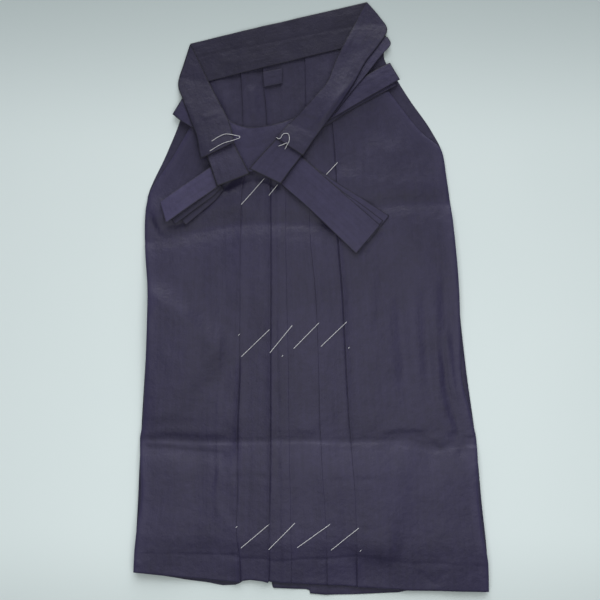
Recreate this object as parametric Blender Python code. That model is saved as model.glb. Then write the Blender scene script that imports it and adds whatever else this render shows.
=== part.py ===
"""A hakama in its skirt form, laid out flat, front up, with its four ties folded over the waist.

Frame: metres, +Z up, the surface it lies on is z = 0, +Y points to the waist and +X to the right of
someone who looks down on it. The origin is under the middle of the whole outline.

Every piece is a wall of cloth. The two pleated skirts are lofted through cross-sections, one for each
row of a table. The waistbands and ties are strips, each laid on whatever is already in the pile.
"""

from collections import namedtuple
from math import cos, pi, sin

import bmesh
import bpy
import numpy as np
from mathutils import Vector
from mathutils.bvhtree import BVHTree

# ---------------------------------------------------------------- driving sizes, in millimetres
MM = 0.001
WALL = 1.1            # one ply: the cloth with its seam allowances
GAP = 0.4             # air between plies that lie on each other
PLY = WALL + GAP      # height of one more ply in a stack
RAMP = 12.0           # run over which a ply climbs on to a pleat
CLEAR = 2.0           # a climbing ply clears the inner fold of its pleat by this much
RISE_RUN = 12.0       # run over which the front skirt climbs on to the back skirt's pleats
SEWN_RUN = 45.0       # run over which the back skirt comes down from its lifted sides
SLOPE = 0.35          # a laid strip comes down from what it crosses no steeper than this
STEP = 20.0           # longest stretch of a strip between two of its ribs
COLUMN = 18.0         # widest stretch of a strip between two of its columns
FEELERS = 6           # places tried along and across each cell of a strip for what lies under it
OVERREACH = 0.15      # how far beyond the cell they go, as a share of its size
SIDE_CURVE = 1.3      # how a row bends from its middle to its two ends: 1 is straight, 2 is a parabola
FOLD_ARC = (90, 30, -30, -90)   # directions, in degrees, of the points round a pleat's fold

# ---------------------------------------------------------------- tables, in millimetres
# A row of a skirt runs from its left end through its middle to its right end. fold1, fold2 and so on
# are the places of the pleats' outer folds. lift and side_lift are how high the garment's storage folds
# raise the row: all across, and at its two sides, where the front is sewn to the back.
FrontRow = namedtuple(
    "FrontRow", "left_x left_y mid_x mid_y right_x right_y fold1 fold2 fold3 fold4 fold5 lift side_lift")
FRONT_ROWS = (
    FrontRow(-247, 368, -113, 318, 138, 434, -130, -85, -55, -16, 39, 0.0, 0.0),      # under the waistband
    FrontRow(-283, 283, -111, 265, 217, 333, -134, -84, -53, -11, 47, 0.4, 0.4),      # side slits
    FrontRow(-326, 201, -99, 213, 260, 293, -139, -83, -51, -7, 50, 2.6, 2.6),        # end of the slits
    FrontRow(-332, 122, -87, 155, 275, 192, -141, -82, -51, -5, 52, 0.0, 0.0),        # upper storage fold
    FrontRow(-330, 75, -76, 108, 282, 145, -142, -82, -51, -2, 54, 7.6, 7.6),
    FrontRow(-327, -3, -63, -3, 295, -3, -142, -82, -49, 9, 63, 7.0, 7.0),
    FrontRow(-332, -143, -53, -143, 305, -143, -142, -83, -46, 14, 70, 6.0, 6.0),
    FrontRow(-338, -247, -47, -251, 321, -247, -145, -83, -45, 17, 76, 3.0, 3.0),
    FrontRow(-344, -281, -43, -287, 329, -283, -147, -83, -44, 19, 79, 0.2, 0.2),     # lower storage fold
    FrontRow(-343, -315, -43, -323, 331, -317, -147, -83, -44, 20, 81, 6.8, 6.8),
    FrontRow(-344, -350, -43, -356, 334, -350, -148, -84, -43, 22, 84, 10.6, 10.6),
    FrontRow(-344, -383, -43, -389, 337, -383, -148, -84, -42, 24, 86, 11.0, 11.0),
    FrontRow(-350, -463, -41, -471, 345, -465, -149, -85, -41, 29, 89, 11.0, 11.0),
    FrontRow(-353, -507, -41, -519, 352, -531, -144, -85, -40, 31, 91, 8.4, 8.4),     # hem stitching
    FrontRow(-355, -549, -41, -573, 354, -588, -143, -86, -40, 32, 92, 5.8, 5.8),     # hem edge
)

BackRow = namedtuple(
    "BackRow", "left_x left_y mid_x mid_y right_x right_y fold1 fold2 fold3 lift side_lift")
BACK_ROWS = (
    BackRow(-251, 429, -55, 477, 143, 527, -141, -97, -13, 0.0, 0.0),                 # under the waistband
    BackRow(-255, 397, -73, 427, 143, 483, -139, -95, -12, 0.0, 0.0),
    BackRow(-259, 369, -87, 387, 165, 443, -137, -91, -11, 0.0, 0.0),
    BackRow(-267, 343, -93, 337, 195, 395, -136, -88, -10, 0.0, 0.0),
    BackRow(-291, 285, -99, 277, 237, 335, -135, -87, -10, 0.0, 0.0),
    BackRow(-328, 199, -93, 213, 263, 293, -134, -86, -9, 0.0, 0.0),                  # end of the slits
    BackRow(-330, 122, -82, 155, 276, 192, -134, -86, -9, 0.0, 0.0),
    BackRow(-329, 75, -72, 108, 283, 145, -133, -85, -8, 0.0, 7.6),
    BackRow(-326, -3, -53, -3, 294, -3, -131, -83, -7, 0.0, 7.0),
    BackRow(-331, -143, -46, -143, 304, -143, -129, -81, -6, 0.0, 6.0),
    BackRow(-338, -247, -39, -251, 320, -247, -128, -80, -5, 0.0, 3.0),
    BackRow(-343, -281, -35, -287, 328, -283, -127, -79, -5, 0.0, 0.2),
    BackRow(-343, -315, -30, -323, 330, -317, -127, -79, -5, 0.0, 6.8),
    BackRow(-343, -350, -26, -356, 333, -350, -126, -78, -4, 0.0, 10.6),
    BackRow(-344, -383, -22, -389, 336, -383, -126, -78, -4, 0.0, 11.0),
    BackRow(-349, -463, -10, -471, 344, -465, -125, -77, -3, 0.0, 11.0),
    BackRow(-352, -507, -3, -523, 351, -531, -124, -76, -3, 0.0, 8.4),
    BackRow(-354, -548, 37, -588, 352, -586, -123, -76, -3, 0.0, 5.8),                # hem edge
)

# A pleat's outer fold points to the right (1) or to the left (-1), and lies on the ply beside it.
Pleat = namedtuple("Pleat", "fold depth points")
FRONT_PLEATS = (
    Pleat("fold1", 46.0, 1),
    Pleat("fold2", 22.0, 1),
    Pleat("fold3", 12.0, 1),
    Pleat("fold4", 14.0, -1),
    Pleat("fold5", 46.0, -1),
)
BACK_PLEATS = (
    Pleat("fold1", 22.0, -1),
    Pleat("fold2", 40.0, -1),
    Pleat("fold3", 30.0, -1),
)

# A rib goes across a strip, from its a edge to its b edge. The ribs follow each other along it.
Rib = namedtuple("Rib", "a_x a_y b_x b_y")
BACK_WAISTBAND = (                          # from the left end to the right, top edge and bottom edge
    Rib(-242, 509, -266, 418),
    Rib(110, 592, 150, 521),
)
INNER_PATCH = (
    Rib(-97, 451, -95, 421),
    Rib(-58, 459, -58, 429),
)
FRONT_WAISTBAND = (                         # it dips in the middle, where the ties pull it down
    Rib(-249, 389, -263, 363),
    Rib(-217, 377, -231, 337),
    Rib(-179, 365, -191, 311),
    Rib(-151, 349, -163, 283),
    Rib(-123, 342, -123, 253),
    Rib(-91, 345, -83, 270),
    Rib(-51, 355, -39, 305),
    Rib(-3, 375, 13, 335),
    Rib(57, 407, 73, 372),
    Rib(117, 443, 137, 409),
    Rib(154, 463, 173, 428),
)
FRONT_TIE_LEFT = (                          # the fold tip, then back over the waistband
    Rib(-257, 397, -275, 367),
    Rib(-223, 375, -261, 355),
    Rib(-199, 365, -231, 336),
    Rib(-175, 357, -195, 315),
)
FRONT_TIE_RIGHT = (                         # from the fold at the side in to the bundle
    Rib(156, 470, 176, 436),
    Rib(127, 456, 147, 420),
    Rib(97, 438, 115, 401),
    Rib(57, 413, 73, 377),
    Rib(17, 389, 33, 354),
    Rib(-15, 371, 1, 335),
)
BACK_TIE_LEFT_DROP = (                      # outer edge and inner edge, from the waistband's corner
    Rib(-243, 507, -240, 506),
    Rib(-255, 473, -223, 471),
    Rib(-267, 429, -205, 433),
    Rib(-257, 397, -187, 397),
    Rib(-239, 347, -165, 355),
    Rib(-231, 327, -159, 335),
    Rib(-221, 281, -155, 311),
)
BACK_TIE_RIGHT_DROP = (                     # inner edge and outer edge, from the waistband's corner
    Rib(108, 590, 111, 591),
    Rib(97, 571, 135, 563),
    Rib(85, 547, 151, 537),
    Rib(67, 513, 133, 505),
    Rib(47, 473, 109, 473),
    Rib(31, 433, 87, 433),
    Rib(-3, 393, 59, 389),
    Rib(-27, 367, 37, 359),
    Rib(-51, 343, 7, 321),
    Rib(-71, 321, -17, 285),
)
BACK_TIE_RIGHT_UNDER = (                    # the ply that shows along the drop's outer edge
    Rib(131, 525, 152, 521),
    Rib(109, 497, 158, 508),
    Rib(93, 473, 139, 485),
    Rib(69, 441, 109, 446),
    Rib(49, 409, 81, 413),
    Rib(21, 373, 49, 371),
)
BACK_TIE_LEFT_WRAP = (
    Rib(-215, 295, -159, 323),
    Rib(-207, 277, -151, 303),
    Rib(-198, 251, -137, 277),
    Rib(-189, 223, -123, 249),
)
BACK_TIE_RIGHT_WRAP = (
    Rib(-61, 333, -9, 297),
    Rib(-71, 321, -19, 285),
    Rib(-99, 289, -41, 257),
    Rib(-125, 259, -61, 229),
)
TAIL_LEFT_TOP = (
    Rib(-179, 281, -161, 245),
    Rib(-207, 261, -189, 223),
    Rib(-255, 227, -240, 187),
    Rib(-304, 194, -291, 150),
)
TAIL_LEFT_MIDDLE = (
    Rib(-193, 253, -179, 221),
    Rib(-213, 241, -195, 205),
    Rib(-253, 211, -233, 177),
    Rib(-291, 185, -271, 151),
)
TAIL_LEFT_BOTTOM = (
    Rib(-191, 251, -175, 217),
    Rib(-211, 237, -193, 195),
    Rib(-239, 213, -217, 175),
    Rib(-263, 191, -243, 151),
)
TAIL_RIGHT_TOP = (
    Rib(-39, 303, -83, 249),
    Rib(-17, 283, -61, 229),
    Rib(33, 238, -11, 185),
    Rib(85, 192, 39, 137),
    Rib(137, 146, 89, 89),
)
TAIL_RIGHT_MIDDLE = (
    Rib(-3, 271, -33, 237),
    Rib(57, 219, 13, 171),
    Rib(101, 187, 57, 137),
    Rib(143, 155, 101, 105),
)
TAIL_RIGHT_BOTTOM = (
    Rib(1, 267, -29, 233),
    Rib(51, 233, 9, 183),
    Rib(103, 199, 61, 145),
    Rib(155, 165, 113, 111),
)

CLOTH = dict(name="plum_grey_twill", color=(0.050, 0.046, 0.074, 1.0), roughness=0.62)
CLOTH_INSIDE = dict(name="plum_grey_inside", color=(0.040, 0.037, 0.060, 1.0), roughness=0.70)


# ---------------------------------------------------------------- helpers
def make_material(name, color, roughness):
    """A plain Principled material, with no metal in it."""
    material = bpy.data.materials.get(name)
    if material is None:
        material = bpy.data.materials.new(name)
        material.use_nodes = True
        shader = material.node_tree.nodes["Principled BSDF"]
        shader.inputs["Base Color"].default_value = color
        shader.inputs["Roughness"].default_value = roughness
        shader.inputs["Metallic"].default_value = 0.0
    return material


def closed_wall(name, top, bottom, cloth):
    """A closed solid between two grids of points (rows, columns, 3), in millimetres."""
    rows, columns = top.shape[:2]
    points = np.concatenate([top.reshape(-1, 3), bottom.reshape(-1, 3)]) * MM
    upper = np.arange(rows * columns).reshape(rows, columns)
    lower = upper + rows * columns
    faces = []
    for grid in (upper, lower):
        corners = (grid[:-1, :-1], grid[:-1, 1:], grid[1:, 1:], grid[1:, :-1])
        faces += np.stack(corners, axis=-1).reshape(-1, 4).tolist()
    rim = np.concatenate([upper[0, :-1], upper[:-1, -1], upper[-1, :0:-1], upper[:0:-1, 0]])
    rim_below = rim + rows * columns
    sides = (rim, np.roll(rim, -1), np.roll(rim_below, -1), rim_below)
    faces += np.stack(sides, axis=-1).tolist()

    mesh = bpy.data.meshes.new(name)
    mesh.from_pydata(points.tolist(), [], faces)
    shell = bmesh.new()
    shell.from_mesh(mesh)
    bmesh.ops.recalc_face_normals(shell, faces=shell.faces)
    shell.to_mesh(mesh)
    shell.free()
    mesh.materials.append(make_material(**cloth))
    piece = bpy.data.objects.new(name, mesh)
    bpy.context.scene.collection.objects.link(piece)
    return piece


def row_y(row, x):
    """The row's place along Y at x: from its middle it bends away to its own two ends."""
    x = np.asarray(x, float)
    end_x = np.where(x < row.mid_x, row.left_x, row.right_x)
    end_y = np.where(x < row.mid_x, row.left_y, row.right_y)
    share = np.abs((x - row.mid_x) / (end_x - row.mid_x))
    return row.mid_y + (end_y - row.mid_y) * share ** SIDE_CURVE


# ---------------------------------------------------------------- pleated skirts
def fold_points(x, low_level, bulge):
    """The half circle that joins two plies, from low_level up to the next: it reaches x."""
    radius = PLY / 2
    centre = x - bulge * (radius + WALL / 2)
    middle = (low_level + 0.5) * PLY
    turn = [angle * pi / 180 for angle in FOLD_ARC]
    return [(centre + bulge * radius * cos(a), middle - radius * sin(a)) for a in turn]


def pleat_points(x, depth, points):
    """A knife pleat, left to right: the three plies, the two folds and the climb on to them."""
    inner = x - points * depth
    outer_fold = fold_points(x, 1, points)
    inner_fold = fold_points(inner, 0, -points)
    climb = [(inner - points * (CLEAR + RAMP), 0.0), (inner - points * CLEAR, 2 * PLY)]
    if points > 0:
        return climb + outer_fold[::-1] + inner_fold[::-1]
    return inner_fold + outer_fold + climb[::-1]


def skirt_section(row, pleats, bed_height):
    """The middle line of one cross-section as x and z, and the ends of its raised stretch."""
    folds = [(getattr(row, p.fold), p.depth, p.points) for p in pleats]
    line = [point for fold in folds for point in pleat_points(*fold)]
    rise, fall = line[0][0] - CLEAR, line[-1][0] + CLEAR
    line = [(rise - RISE_RUN, 0.0), (rise, 0.0)] + line + [(fall, 0.0), (fall + RISE_RUN, 0.0)]
    side = row.side_lift - row.lift
    left_run = min(SEWN_RUN, (line[0][0] - row.left_x) / 2)
    right_run = min(SEWN_RUN, (row.right_x - line[-1][0]) / 2)
    line = [(row.left_x, side), (row.left_x + left_run, 0.0)] + line
    line += [(row.right_x - right_run, 0.0), (row.right_x, side)]
    x, z = np.array(line).T
    on_pleats = (x > rise - RISE_RUN / 2) & (x < fall + RISE_RUN / 2)
    bed = np.where(on_pleats, bed_height["pleats"], bed_height["sides"])
    return x, z + bed + WALL / 2 + row.lift


def offset_line(x, z, distance):
    """The line moved sideways by distance, with mitred corners."""
    step = np.stack([np.diff(x), np.diff(z)])
    step /= np.linalg.norm(step, axis=0)
    normal = np.stack([-step[1], step[0]])
    before = np.concatenate([normal[:, :1], normal], axis=1)
    after = np.concatenate([normal, normal[:, -1:]], axis=1)
    mitre = (before + after) / (1 + (before * after).sum(axis=0))
    return x + distance * mitre[0], z + distance * mitre[1]


def make_skirt(name, rows, pleats, bed_height, cloth):
    """A pleated panel lofted through its rows."""
    sheets = {1: [], -1: []}
    for row in rows:
        line = skirt_section(row, pleats, bed_height)
        for side, grid in sheets.items():
            x, z = offset_line(*line, side * WALL / 2)
            inside = np.clip(x, row.left_x, row.right_x)
            grid.append(np.stack([x, row_y(row, inside), z], axis=-1))
    return closed_wall(name, np.array(sheets[1]), np.array(sheets[-1]), cloth)


# ---------------------------------------------------------------- strips laid on the pile
class Pile:
    """What has been laid down so far. It tells how high it is at any place."""

    def __init__(self):
        self.points, self.faces, self.tree = [], [], None

    def add(self, piece):
        start = len(self.points)
        self.points += [v.co.copy() for v in piece.data.vertices]
        self.faces += [[start + i for i in face.vertices] for face in piece.data.polygons]
        self.tree = BVHTree.FromPolygons(self.points, self.faces)

    def height(self, x, y):
        """Top of the pile in millimetres, or just under the surface where there is nothing."""
        hit = self.tree.ray_cast(Vector((x * MM, y * MM, 1.0)), Vector((0, 0, -1)))[0]
        return -GAP if hit is None else hit.z / MM


def strip_plan(ribs):
    """The strip's points seen from above, (rows, columns, 2), from its ribs."""
    ends = np.array(ribs, float).reshape(-1, 2, 2)
    middle = ends.mean(axis=1)
    lengths = np.linalg.norm(np.diff(middle, axis=0), axis=1)
    along = [0.0]
    for i, length in enumerate(lengths):
        count = max(1, int(np.ceil(length / STEP)))
        along += [i + (k + 1) / count for k in range(count)]
    width = np.linalg.norm(ends[:, 1] - ends[:, 0], axis=1).max()
    columns = max(2, int(np.ceil(width / COLUMN))) + 1
    station = np.arange(len(ends))
    edge = [[np.interp(along, station, ends[:, e, k]) for k in (0, 1)] for e in (0, 1)]
    edge = np.array(edge).transpose(2, 0, 1)
    share = np.linspace(0, 1, columns)[None, :, None]
    return edge[:, :1] * (1 - share) + edge[:, 1:] * share


def resting_heights(plan, pile):
    """Lowest heights at which the strip clears the pile everywhere, and bends no steeper than SLOPE."""
    rows, columns = plan.shape[:2]
    heights = np.full((rows, columns), -GAP)
    shares = np.linspace(-OVERREACH, 1 + OVERREACH, FEELERS)
    for i in range(rows - 1):
        for j in range(columns - 1):
            near, far = plan[i, j], plan[i + 1, j]
            near_end, far_end = plan[i, j + 1], plan[i + 1, j + 1]
            top = -GAP
            for s in shares:
                for t in shares:
                    place = (near * (1 - s) + far * s) * (1 - t) + (near_end * (1 - s) + far_end * s) * t
                    top = max(top, pile.height(*place))
            cell = heights[i:i + 2, j:j + 2]
            np.maximum(cell, top, out=cell)
    flat = plan.reshape(-1, 2)
    distance = np.linalg.norm(flat[:, None] - flat[None], axis=2)
    spanned = (heights.reshape(1, -1) - SLOPE * distance).max(axis=1)
    return spanned.reshape(rows, columns) + GAP


def lay_strip(name, ribs, pile, cloth):
    """A strip of cloth laid on the pile, which it then belongs to."""
    plan = strip_plan(ribs)
    under = resting_heights(plan, pile)
    bottom = np.dstack([plan, under])
    top = np.dstack([plan, under + WALL])
    piece = closed_wall(name, top, bottom, cloth)
    pile.add(piece)
    return piece


# ---------------------------------------------------------------- the garment
def build():
    for old in list(bpy.data.objects):
        bpy.data.objects.remove(old, do_unlink=True)

    pile = Pile()
    on_surface = {"sides": 0.0, "pleats": 0.0}
    pile.add(make_skirt("back_skirt", BACK_ROWS, BACK_PLEATS, on_surface, CLOTH_INSIDE))
    lay_strip("back_waistband", BACK_WAISTBAND, pile, CLOTH)
    lay_strip("inner_patch", INNER_PATCH, pile, CLOTH_INSIDE)

    on_back_skirt = {"sides": PLY, "pleats": 3 * PLY}
    pile.add(make_skirt("front_skirt", FRONT_ROWS, FRONT_PLEATS, on_back_skirt, CLOTH))
    for name, ribs in (
        ("front_waistband", FRONT_WAISTBAND),
        ("front_tie_left", FRONT_TIE_LEFT),
        ("front_tie_right", FRONT_TIE_RIGHT),
        ("tail_left_bottom", TAIL_LEFT_BOTTOM),
        ("tail_left_middle", TAIL_LEFT_MIDDLE),
        ("tail_left_top", TAIL_LEFT_TOP),
        ("tail_right_bottom", TAIL_RIGHT_BOTTOM),
        ("tail_right_middle", TAIL_RIGHT_MIDDLE),
        ("tail_right_top", TAIL_RIGHT_TOP),
        ("back_tie_left_wrap", BACK_TIE_LEFT_WRAP),
        ("back_tie_right_wrap", BACK_TIE_RIGHT_WRAP),
        ("back_tie_right_under", BACK_TIE_RIGHT_UNDER),
        ("back_tie_left_drop", BACK_TIE_LEFT_DROP),
        ("back_tie_right_drop", BACK_TIE_RIGHT_DROP),
    ):
        lay_strip(name, ribs, pile, CLOTH)


build()
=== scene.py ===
# %% [markdown]
# # A pleated hakama, laid out flat
# The garment lies front up. Its four ties are folded in over the waist and tacked with white thread, and
# its pleats are held by long basting stitches, as when it comes from the maker.
#
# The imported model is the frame: it gives every solid at its real size and place. Here each of its cloth
# solids gets a thin cloth piece on the same form, with real folds, creases, weave and stitching. The
# pieces are made in the order in which they lie, from the floor up. Lengths are in millimetres, and are
# made metres where they go into a mesh.

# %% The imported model
from collections import namedtuple

import bpy
import numpy as np
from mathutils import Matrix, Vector


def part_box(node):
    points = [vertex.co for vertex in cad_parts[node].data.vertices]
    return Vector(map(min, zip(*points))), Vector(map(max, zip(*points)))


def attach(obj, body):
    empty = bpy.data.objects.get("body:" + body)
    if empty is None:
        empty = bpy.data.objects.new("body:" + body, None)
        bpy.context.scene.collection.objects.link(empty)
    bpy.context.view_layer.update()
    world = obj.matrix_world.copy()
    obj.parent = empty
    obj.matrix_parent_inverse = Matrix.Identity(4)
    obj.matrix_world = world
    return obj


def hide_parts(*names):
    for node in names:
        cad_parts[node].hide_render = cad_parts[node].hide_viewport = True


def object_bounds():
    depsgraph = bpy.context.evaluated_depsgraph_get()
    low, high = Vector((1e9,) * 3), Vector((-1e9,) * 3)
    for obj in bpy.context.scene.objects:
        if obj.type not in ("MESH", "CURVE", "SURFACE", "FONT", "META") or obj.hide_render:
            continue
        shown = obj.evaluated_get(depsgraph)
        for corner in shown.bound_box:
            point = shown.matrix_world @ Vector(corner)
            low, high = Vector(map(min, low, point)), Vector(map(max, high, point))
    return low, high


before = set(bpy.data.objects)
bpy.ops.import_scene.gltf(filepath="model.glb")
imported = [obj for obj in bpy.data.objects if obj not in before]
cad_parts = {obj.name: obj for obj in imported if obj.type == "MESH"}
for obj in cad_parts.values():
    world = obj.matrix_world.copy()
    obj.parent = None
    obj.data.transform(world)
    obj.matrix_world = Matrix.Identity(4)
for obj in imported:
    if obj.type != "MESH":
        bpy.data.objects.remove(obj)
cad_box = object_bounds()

MM = 0.001
scene = bpy.context.scene
print("nodes:", ", ".join(sorted(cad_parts)))
print("box in mm:", [[round(c / MM, 1) for c in corner] for corner in cad_box])

# %% [markdown]
# ## Where it is seen from
# The garment is looked at from straight above, so the camera hangs over it and looks down. An orthographic
# camera would give the same outline. One that is far away with a longer lens also shows the pile as an eye
# would, with what is higher standing a little outwards. The lens follows from the width that has to show.

# %% The camera
VIEW_WIDTH = 1200.0        # what the frame shows across, at the surface
VIEW_CENTRE = (-23.0, -3.0)
VIEW_HEIGHT = 2200.0
FILM_WIDTH = 36.0

lens = bpy.data.cameras.new("overhead")
lens.sensor_width = FILM_WIDTH
lens.lens = FILM_WIDTH * VIEW_HEIGHT / VIEW_WIDTH
camera = bpy.data.objects.new("overhead", lens)
camera.location = Vector((*VIEW_CENTRE, VIEW_HEIGHT)) * MM
scene.collection.objects.link(camera)
scene.camera = camera
print(f"camera {VIEW_HEIGHT:.0f} mm up, lens {lens.lens:.0f} mm")

# %% [markdown]
# ## Light
# Low relief shows only if the light comes in from one side. A broad soft lamp beyond the waist grazes the
# cloth, so creases that run across it are dark on one flank and light on the other. An area lamp of that
# size would have to stand close by and would light the near end more, so it is a sun with a wide spread.
# A ceiling lamp and a pale, even surround keep the shadows open.

# %% The lamps and the surround
SUN_HEADING = 2.0          # degrees from +Y towards +X
SUN_HEIGHT = 30.0          # degrees above the floor
SUN_SPREAD = 50.0          # how wide the source looks, in degrees: it softens the shadows
SUN_POWER = 2.68
SUN_COLOUR = (0.965, 0.965, 1.0)
CEILING_SIZE = 1.5         # metres
CEILING_POWER = 10.9
CEILING_PLACE = (0.02, -0.36, 1.4)
SURROUND = (0.93, 1.0, 1.0, 1.0)
SURROUND_STRENGTH = 0.13

sun = bpy.data.lights.new("window", "SUN")
sun.energy = SUN_POWER
sun.angle = np.radians(SUN_SPREAD)
sun.color = SUN_COLOUR
window = bpy.data.objects.new("window", sun)
heading, rise = np.radians(SUN_HEADING), np.radians(SUN_HEIGHT)
towards = Vector((np.sin(heading) * np.cos(rise), np.cos(heading) * np.cos(rise), np.sin(rise)))
window.rotation_euler = towards.to_track_quat("Z", "Y").to_euler()
scene.collection.objects.link(window)

ceiling_light = bpy.data.lights.new("ceiling", "AREA")
ceiling_light.size = CEILING_SIZE
ceiling_light.energy = CEILING_POWER
ceiling = bpy.data.objects.new("ceiling", ceiling_light)
ceiling.location = CEILING_PLACE
scene.collection.objects.link(ceiling)

world = bpy.data.worlds.new("surround")
world.use_nodes = True
background = world.node_tree.nodes["Background"]
background.inputs["Color"].default_value = SURROUND
background.inputs["Strength"].default_value = SURROUND_STRENGTH
scene.world = world
scene.view_settings.view_transform = "Standard"
print(f"a window {SUN_HEIGHT:.0f} degrees up, a ceiling lamp and a pale surround")

# %% [markdown]
# ## Shader maths as plain expressions
# A finish is a small program made of nodes. Adding and linking each node by hand hides that program in
# twenty lines. Wrapping a socket in a class lets Python's own signs add the Math nodes, so that
# `0.5 + 0.5 * wave` in the script is what the shader computes.

# %% A socket that can be reckoned with
class Signal:
    """One output socket in a finish. Its signs add Math nodes to that finish."""

    def __init__(self, finish, socket):
        self.finish, self.socket = finish, socket

    def reckon(self, operation, *values):
        """One Math node with this operation, fed with the values in their order."""
        return self.finish.node("ShaderNodeMath", dict(operation=operation), dict(enumerate(values)))

    def __add__(self, other):
        return self.reckon("ADD", self, other)

    def __mul__(self, other):
        return self.reckon("MULTIPLY", self, other)

    __radd__, __rmul__ = __add__, __mul__

    def sine(self):
        """The sine of an angle in radians."""
        return self.reckon("SINE", self)

    def smooth(self, low, high):
        """0 below low, 1 above high, with an S curve between."""
        settings = dict(interpolation_type="SMOOTHSTEP")
        return self.finish.node("ShaderNodeMapRange", settings, {"Value": self, 1: low, 2: high})


class Finish:
    """A material: a Principled shader with constants on its own sockets, and the nodes that feed it."""

    def __init__(self, name, **constants):
        self.material = bpy.data.materials.new(name)
        self.material.use_nodes = True
        self.tree = self.material.node_tree
        self.shader = self.tree.nodes["Principled BSDF"]
        for socket, value in constants.items():
            self.shader.inputs[socket.replace("_", " ")].default_value = value

    def node(self, kind, settings=None, values=None, output=0):
        """Adds one node: its settings first, then its sockets' values or links. Returns an output."""
        node = self.tree.nodes.new(kind)
        for name, setting in (settings or {}).items():
            setattr(node, name, setting)
        for socket, value in (values or {}).items():
            if isinstance(value, Signal):
                self.tree.links.new(value.socket, node.inputs[socket])
            else:
                node.inputs[socket].default_value = value
        return Signal(self, node.outputs[output])

    def noise(self, place, scale, detail=2.0, roughness=0.5):
        """Soft noise from 0 to 1, of about scale waves to a metre, with so many finer ones on top."""
        return self.node("ShaderNodeTexNoise", None, {
            "Vector": place, "Scale": scale, "Detail": detail, "Roughness": roughness})

    def mix(self, share, first, second):
        """Goes from the first colour to the second as share goes from 0 to 1."""
        return self.node("ShaderNodeMix", dict(data_type="RGBA"), {0: share, 6: first, 7: second}, output=2)

    def coordinates(self, kind):
        """Where each point lies: "Object" in the frame, or "UV" on the piece's own cloth."""
        return self.node("ShaderNodeTexCoord", output=kind)

    def axis(self, place, which):
        """One number of a place: 0 is X, 1 is Y."""
        return self.node("ShaderNodeSeparateXYZ", None, {0: place}, output=which)

    def scaled(self, place, by):
        """A place multiplied axis by axis, which stretches the noise that reads it."""
        return self.node("ShaderNodeVectorMath", dict(operation="MULTIPLY"), {0: place, 1: by})

    def bump(self, height, depth, strength, below=None):
        """A Bump node whose height of 1 stands depth metres proud, on the normal of the one below."""
        values = {"Height": height, "Distance": depth, "Strength": strength}
        if below is not None:
            values["Normal"] = below
        return self.node("ShaderNodeBump", None, values)

    def feed(self, socket, signal):
        """Links a signal to one of the shader's own sockets."""
        self.tree.links.new(signal.socket, self.shader.inputs[socket])


print("a Signal adds, multiplies, takes a sine and smooths")

# %% [markdown]
# ## The cloth
# It is a fine plum-grey twill, with a faint sheen. An image texture would show its pixels close by and
# repeat from afar, so the twill is worked out. Its ribs run diagonally, less than a millimetre apart,
# so they follow the cloth's own UV map, which is in metres, and turn with each tie. Softer and wider noise
# stands for the uneven take-up of the dye and for the handling of the cloth.
#
# Cloth of one bolt looks lighter or darker as it faces the light or turns from it, and here that light and
# shade is painted: the skirt, the bands and each tie have a face of their own tone, a lit or shaded copy
# of one twill. Towards an edge a face goes over to another tone, which is painted edge shade, and a
# painted highlight along the sides of the front skirt.

# %% Twill
# A scale is how many waves of noise go into a metre, and a depth is how far they stand out, in metres.
PLUM_GREY = (0.0268, 0.0233, 0.0553)
SHEEN_TINT = (0.95, 0.92, 1.0, 1.0)
TONE_SPREAD = 0.25         # the lightest and the darkest places are this far from the face's own tone
RIB_PITCH = 0.0009         # metres from one diagonal rib to the next
RIB_DEPTH = 0.00010
YARN_SCALE = 900.0         # uneven yarn, which makes the ribs waver
CLOUD_SCALE = 7.0          # uneven dye, over a hand's width
MOTTLE_SCALE = 80.0        # and over a centimetre
STREAK_SCALE = 160.0       # streaks of the warp, along the cloth
STREAK_LENGTH = 25.0       # they are this many times as long as they are wide
STREAK_DEPTH = 0.0005
HANDLING_SCALE = 26.0      # soft unevenness of pressed cloth that has been handled
HANDLING_DEPTH = 0.0052


def tinted(tone):
    """The cloth's colour, made lighter or darker: tone is 1 for the outer side of the skirt."""
    return tuple(channel * tone for channel in PLUM_GREY) + (1,)


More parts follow.
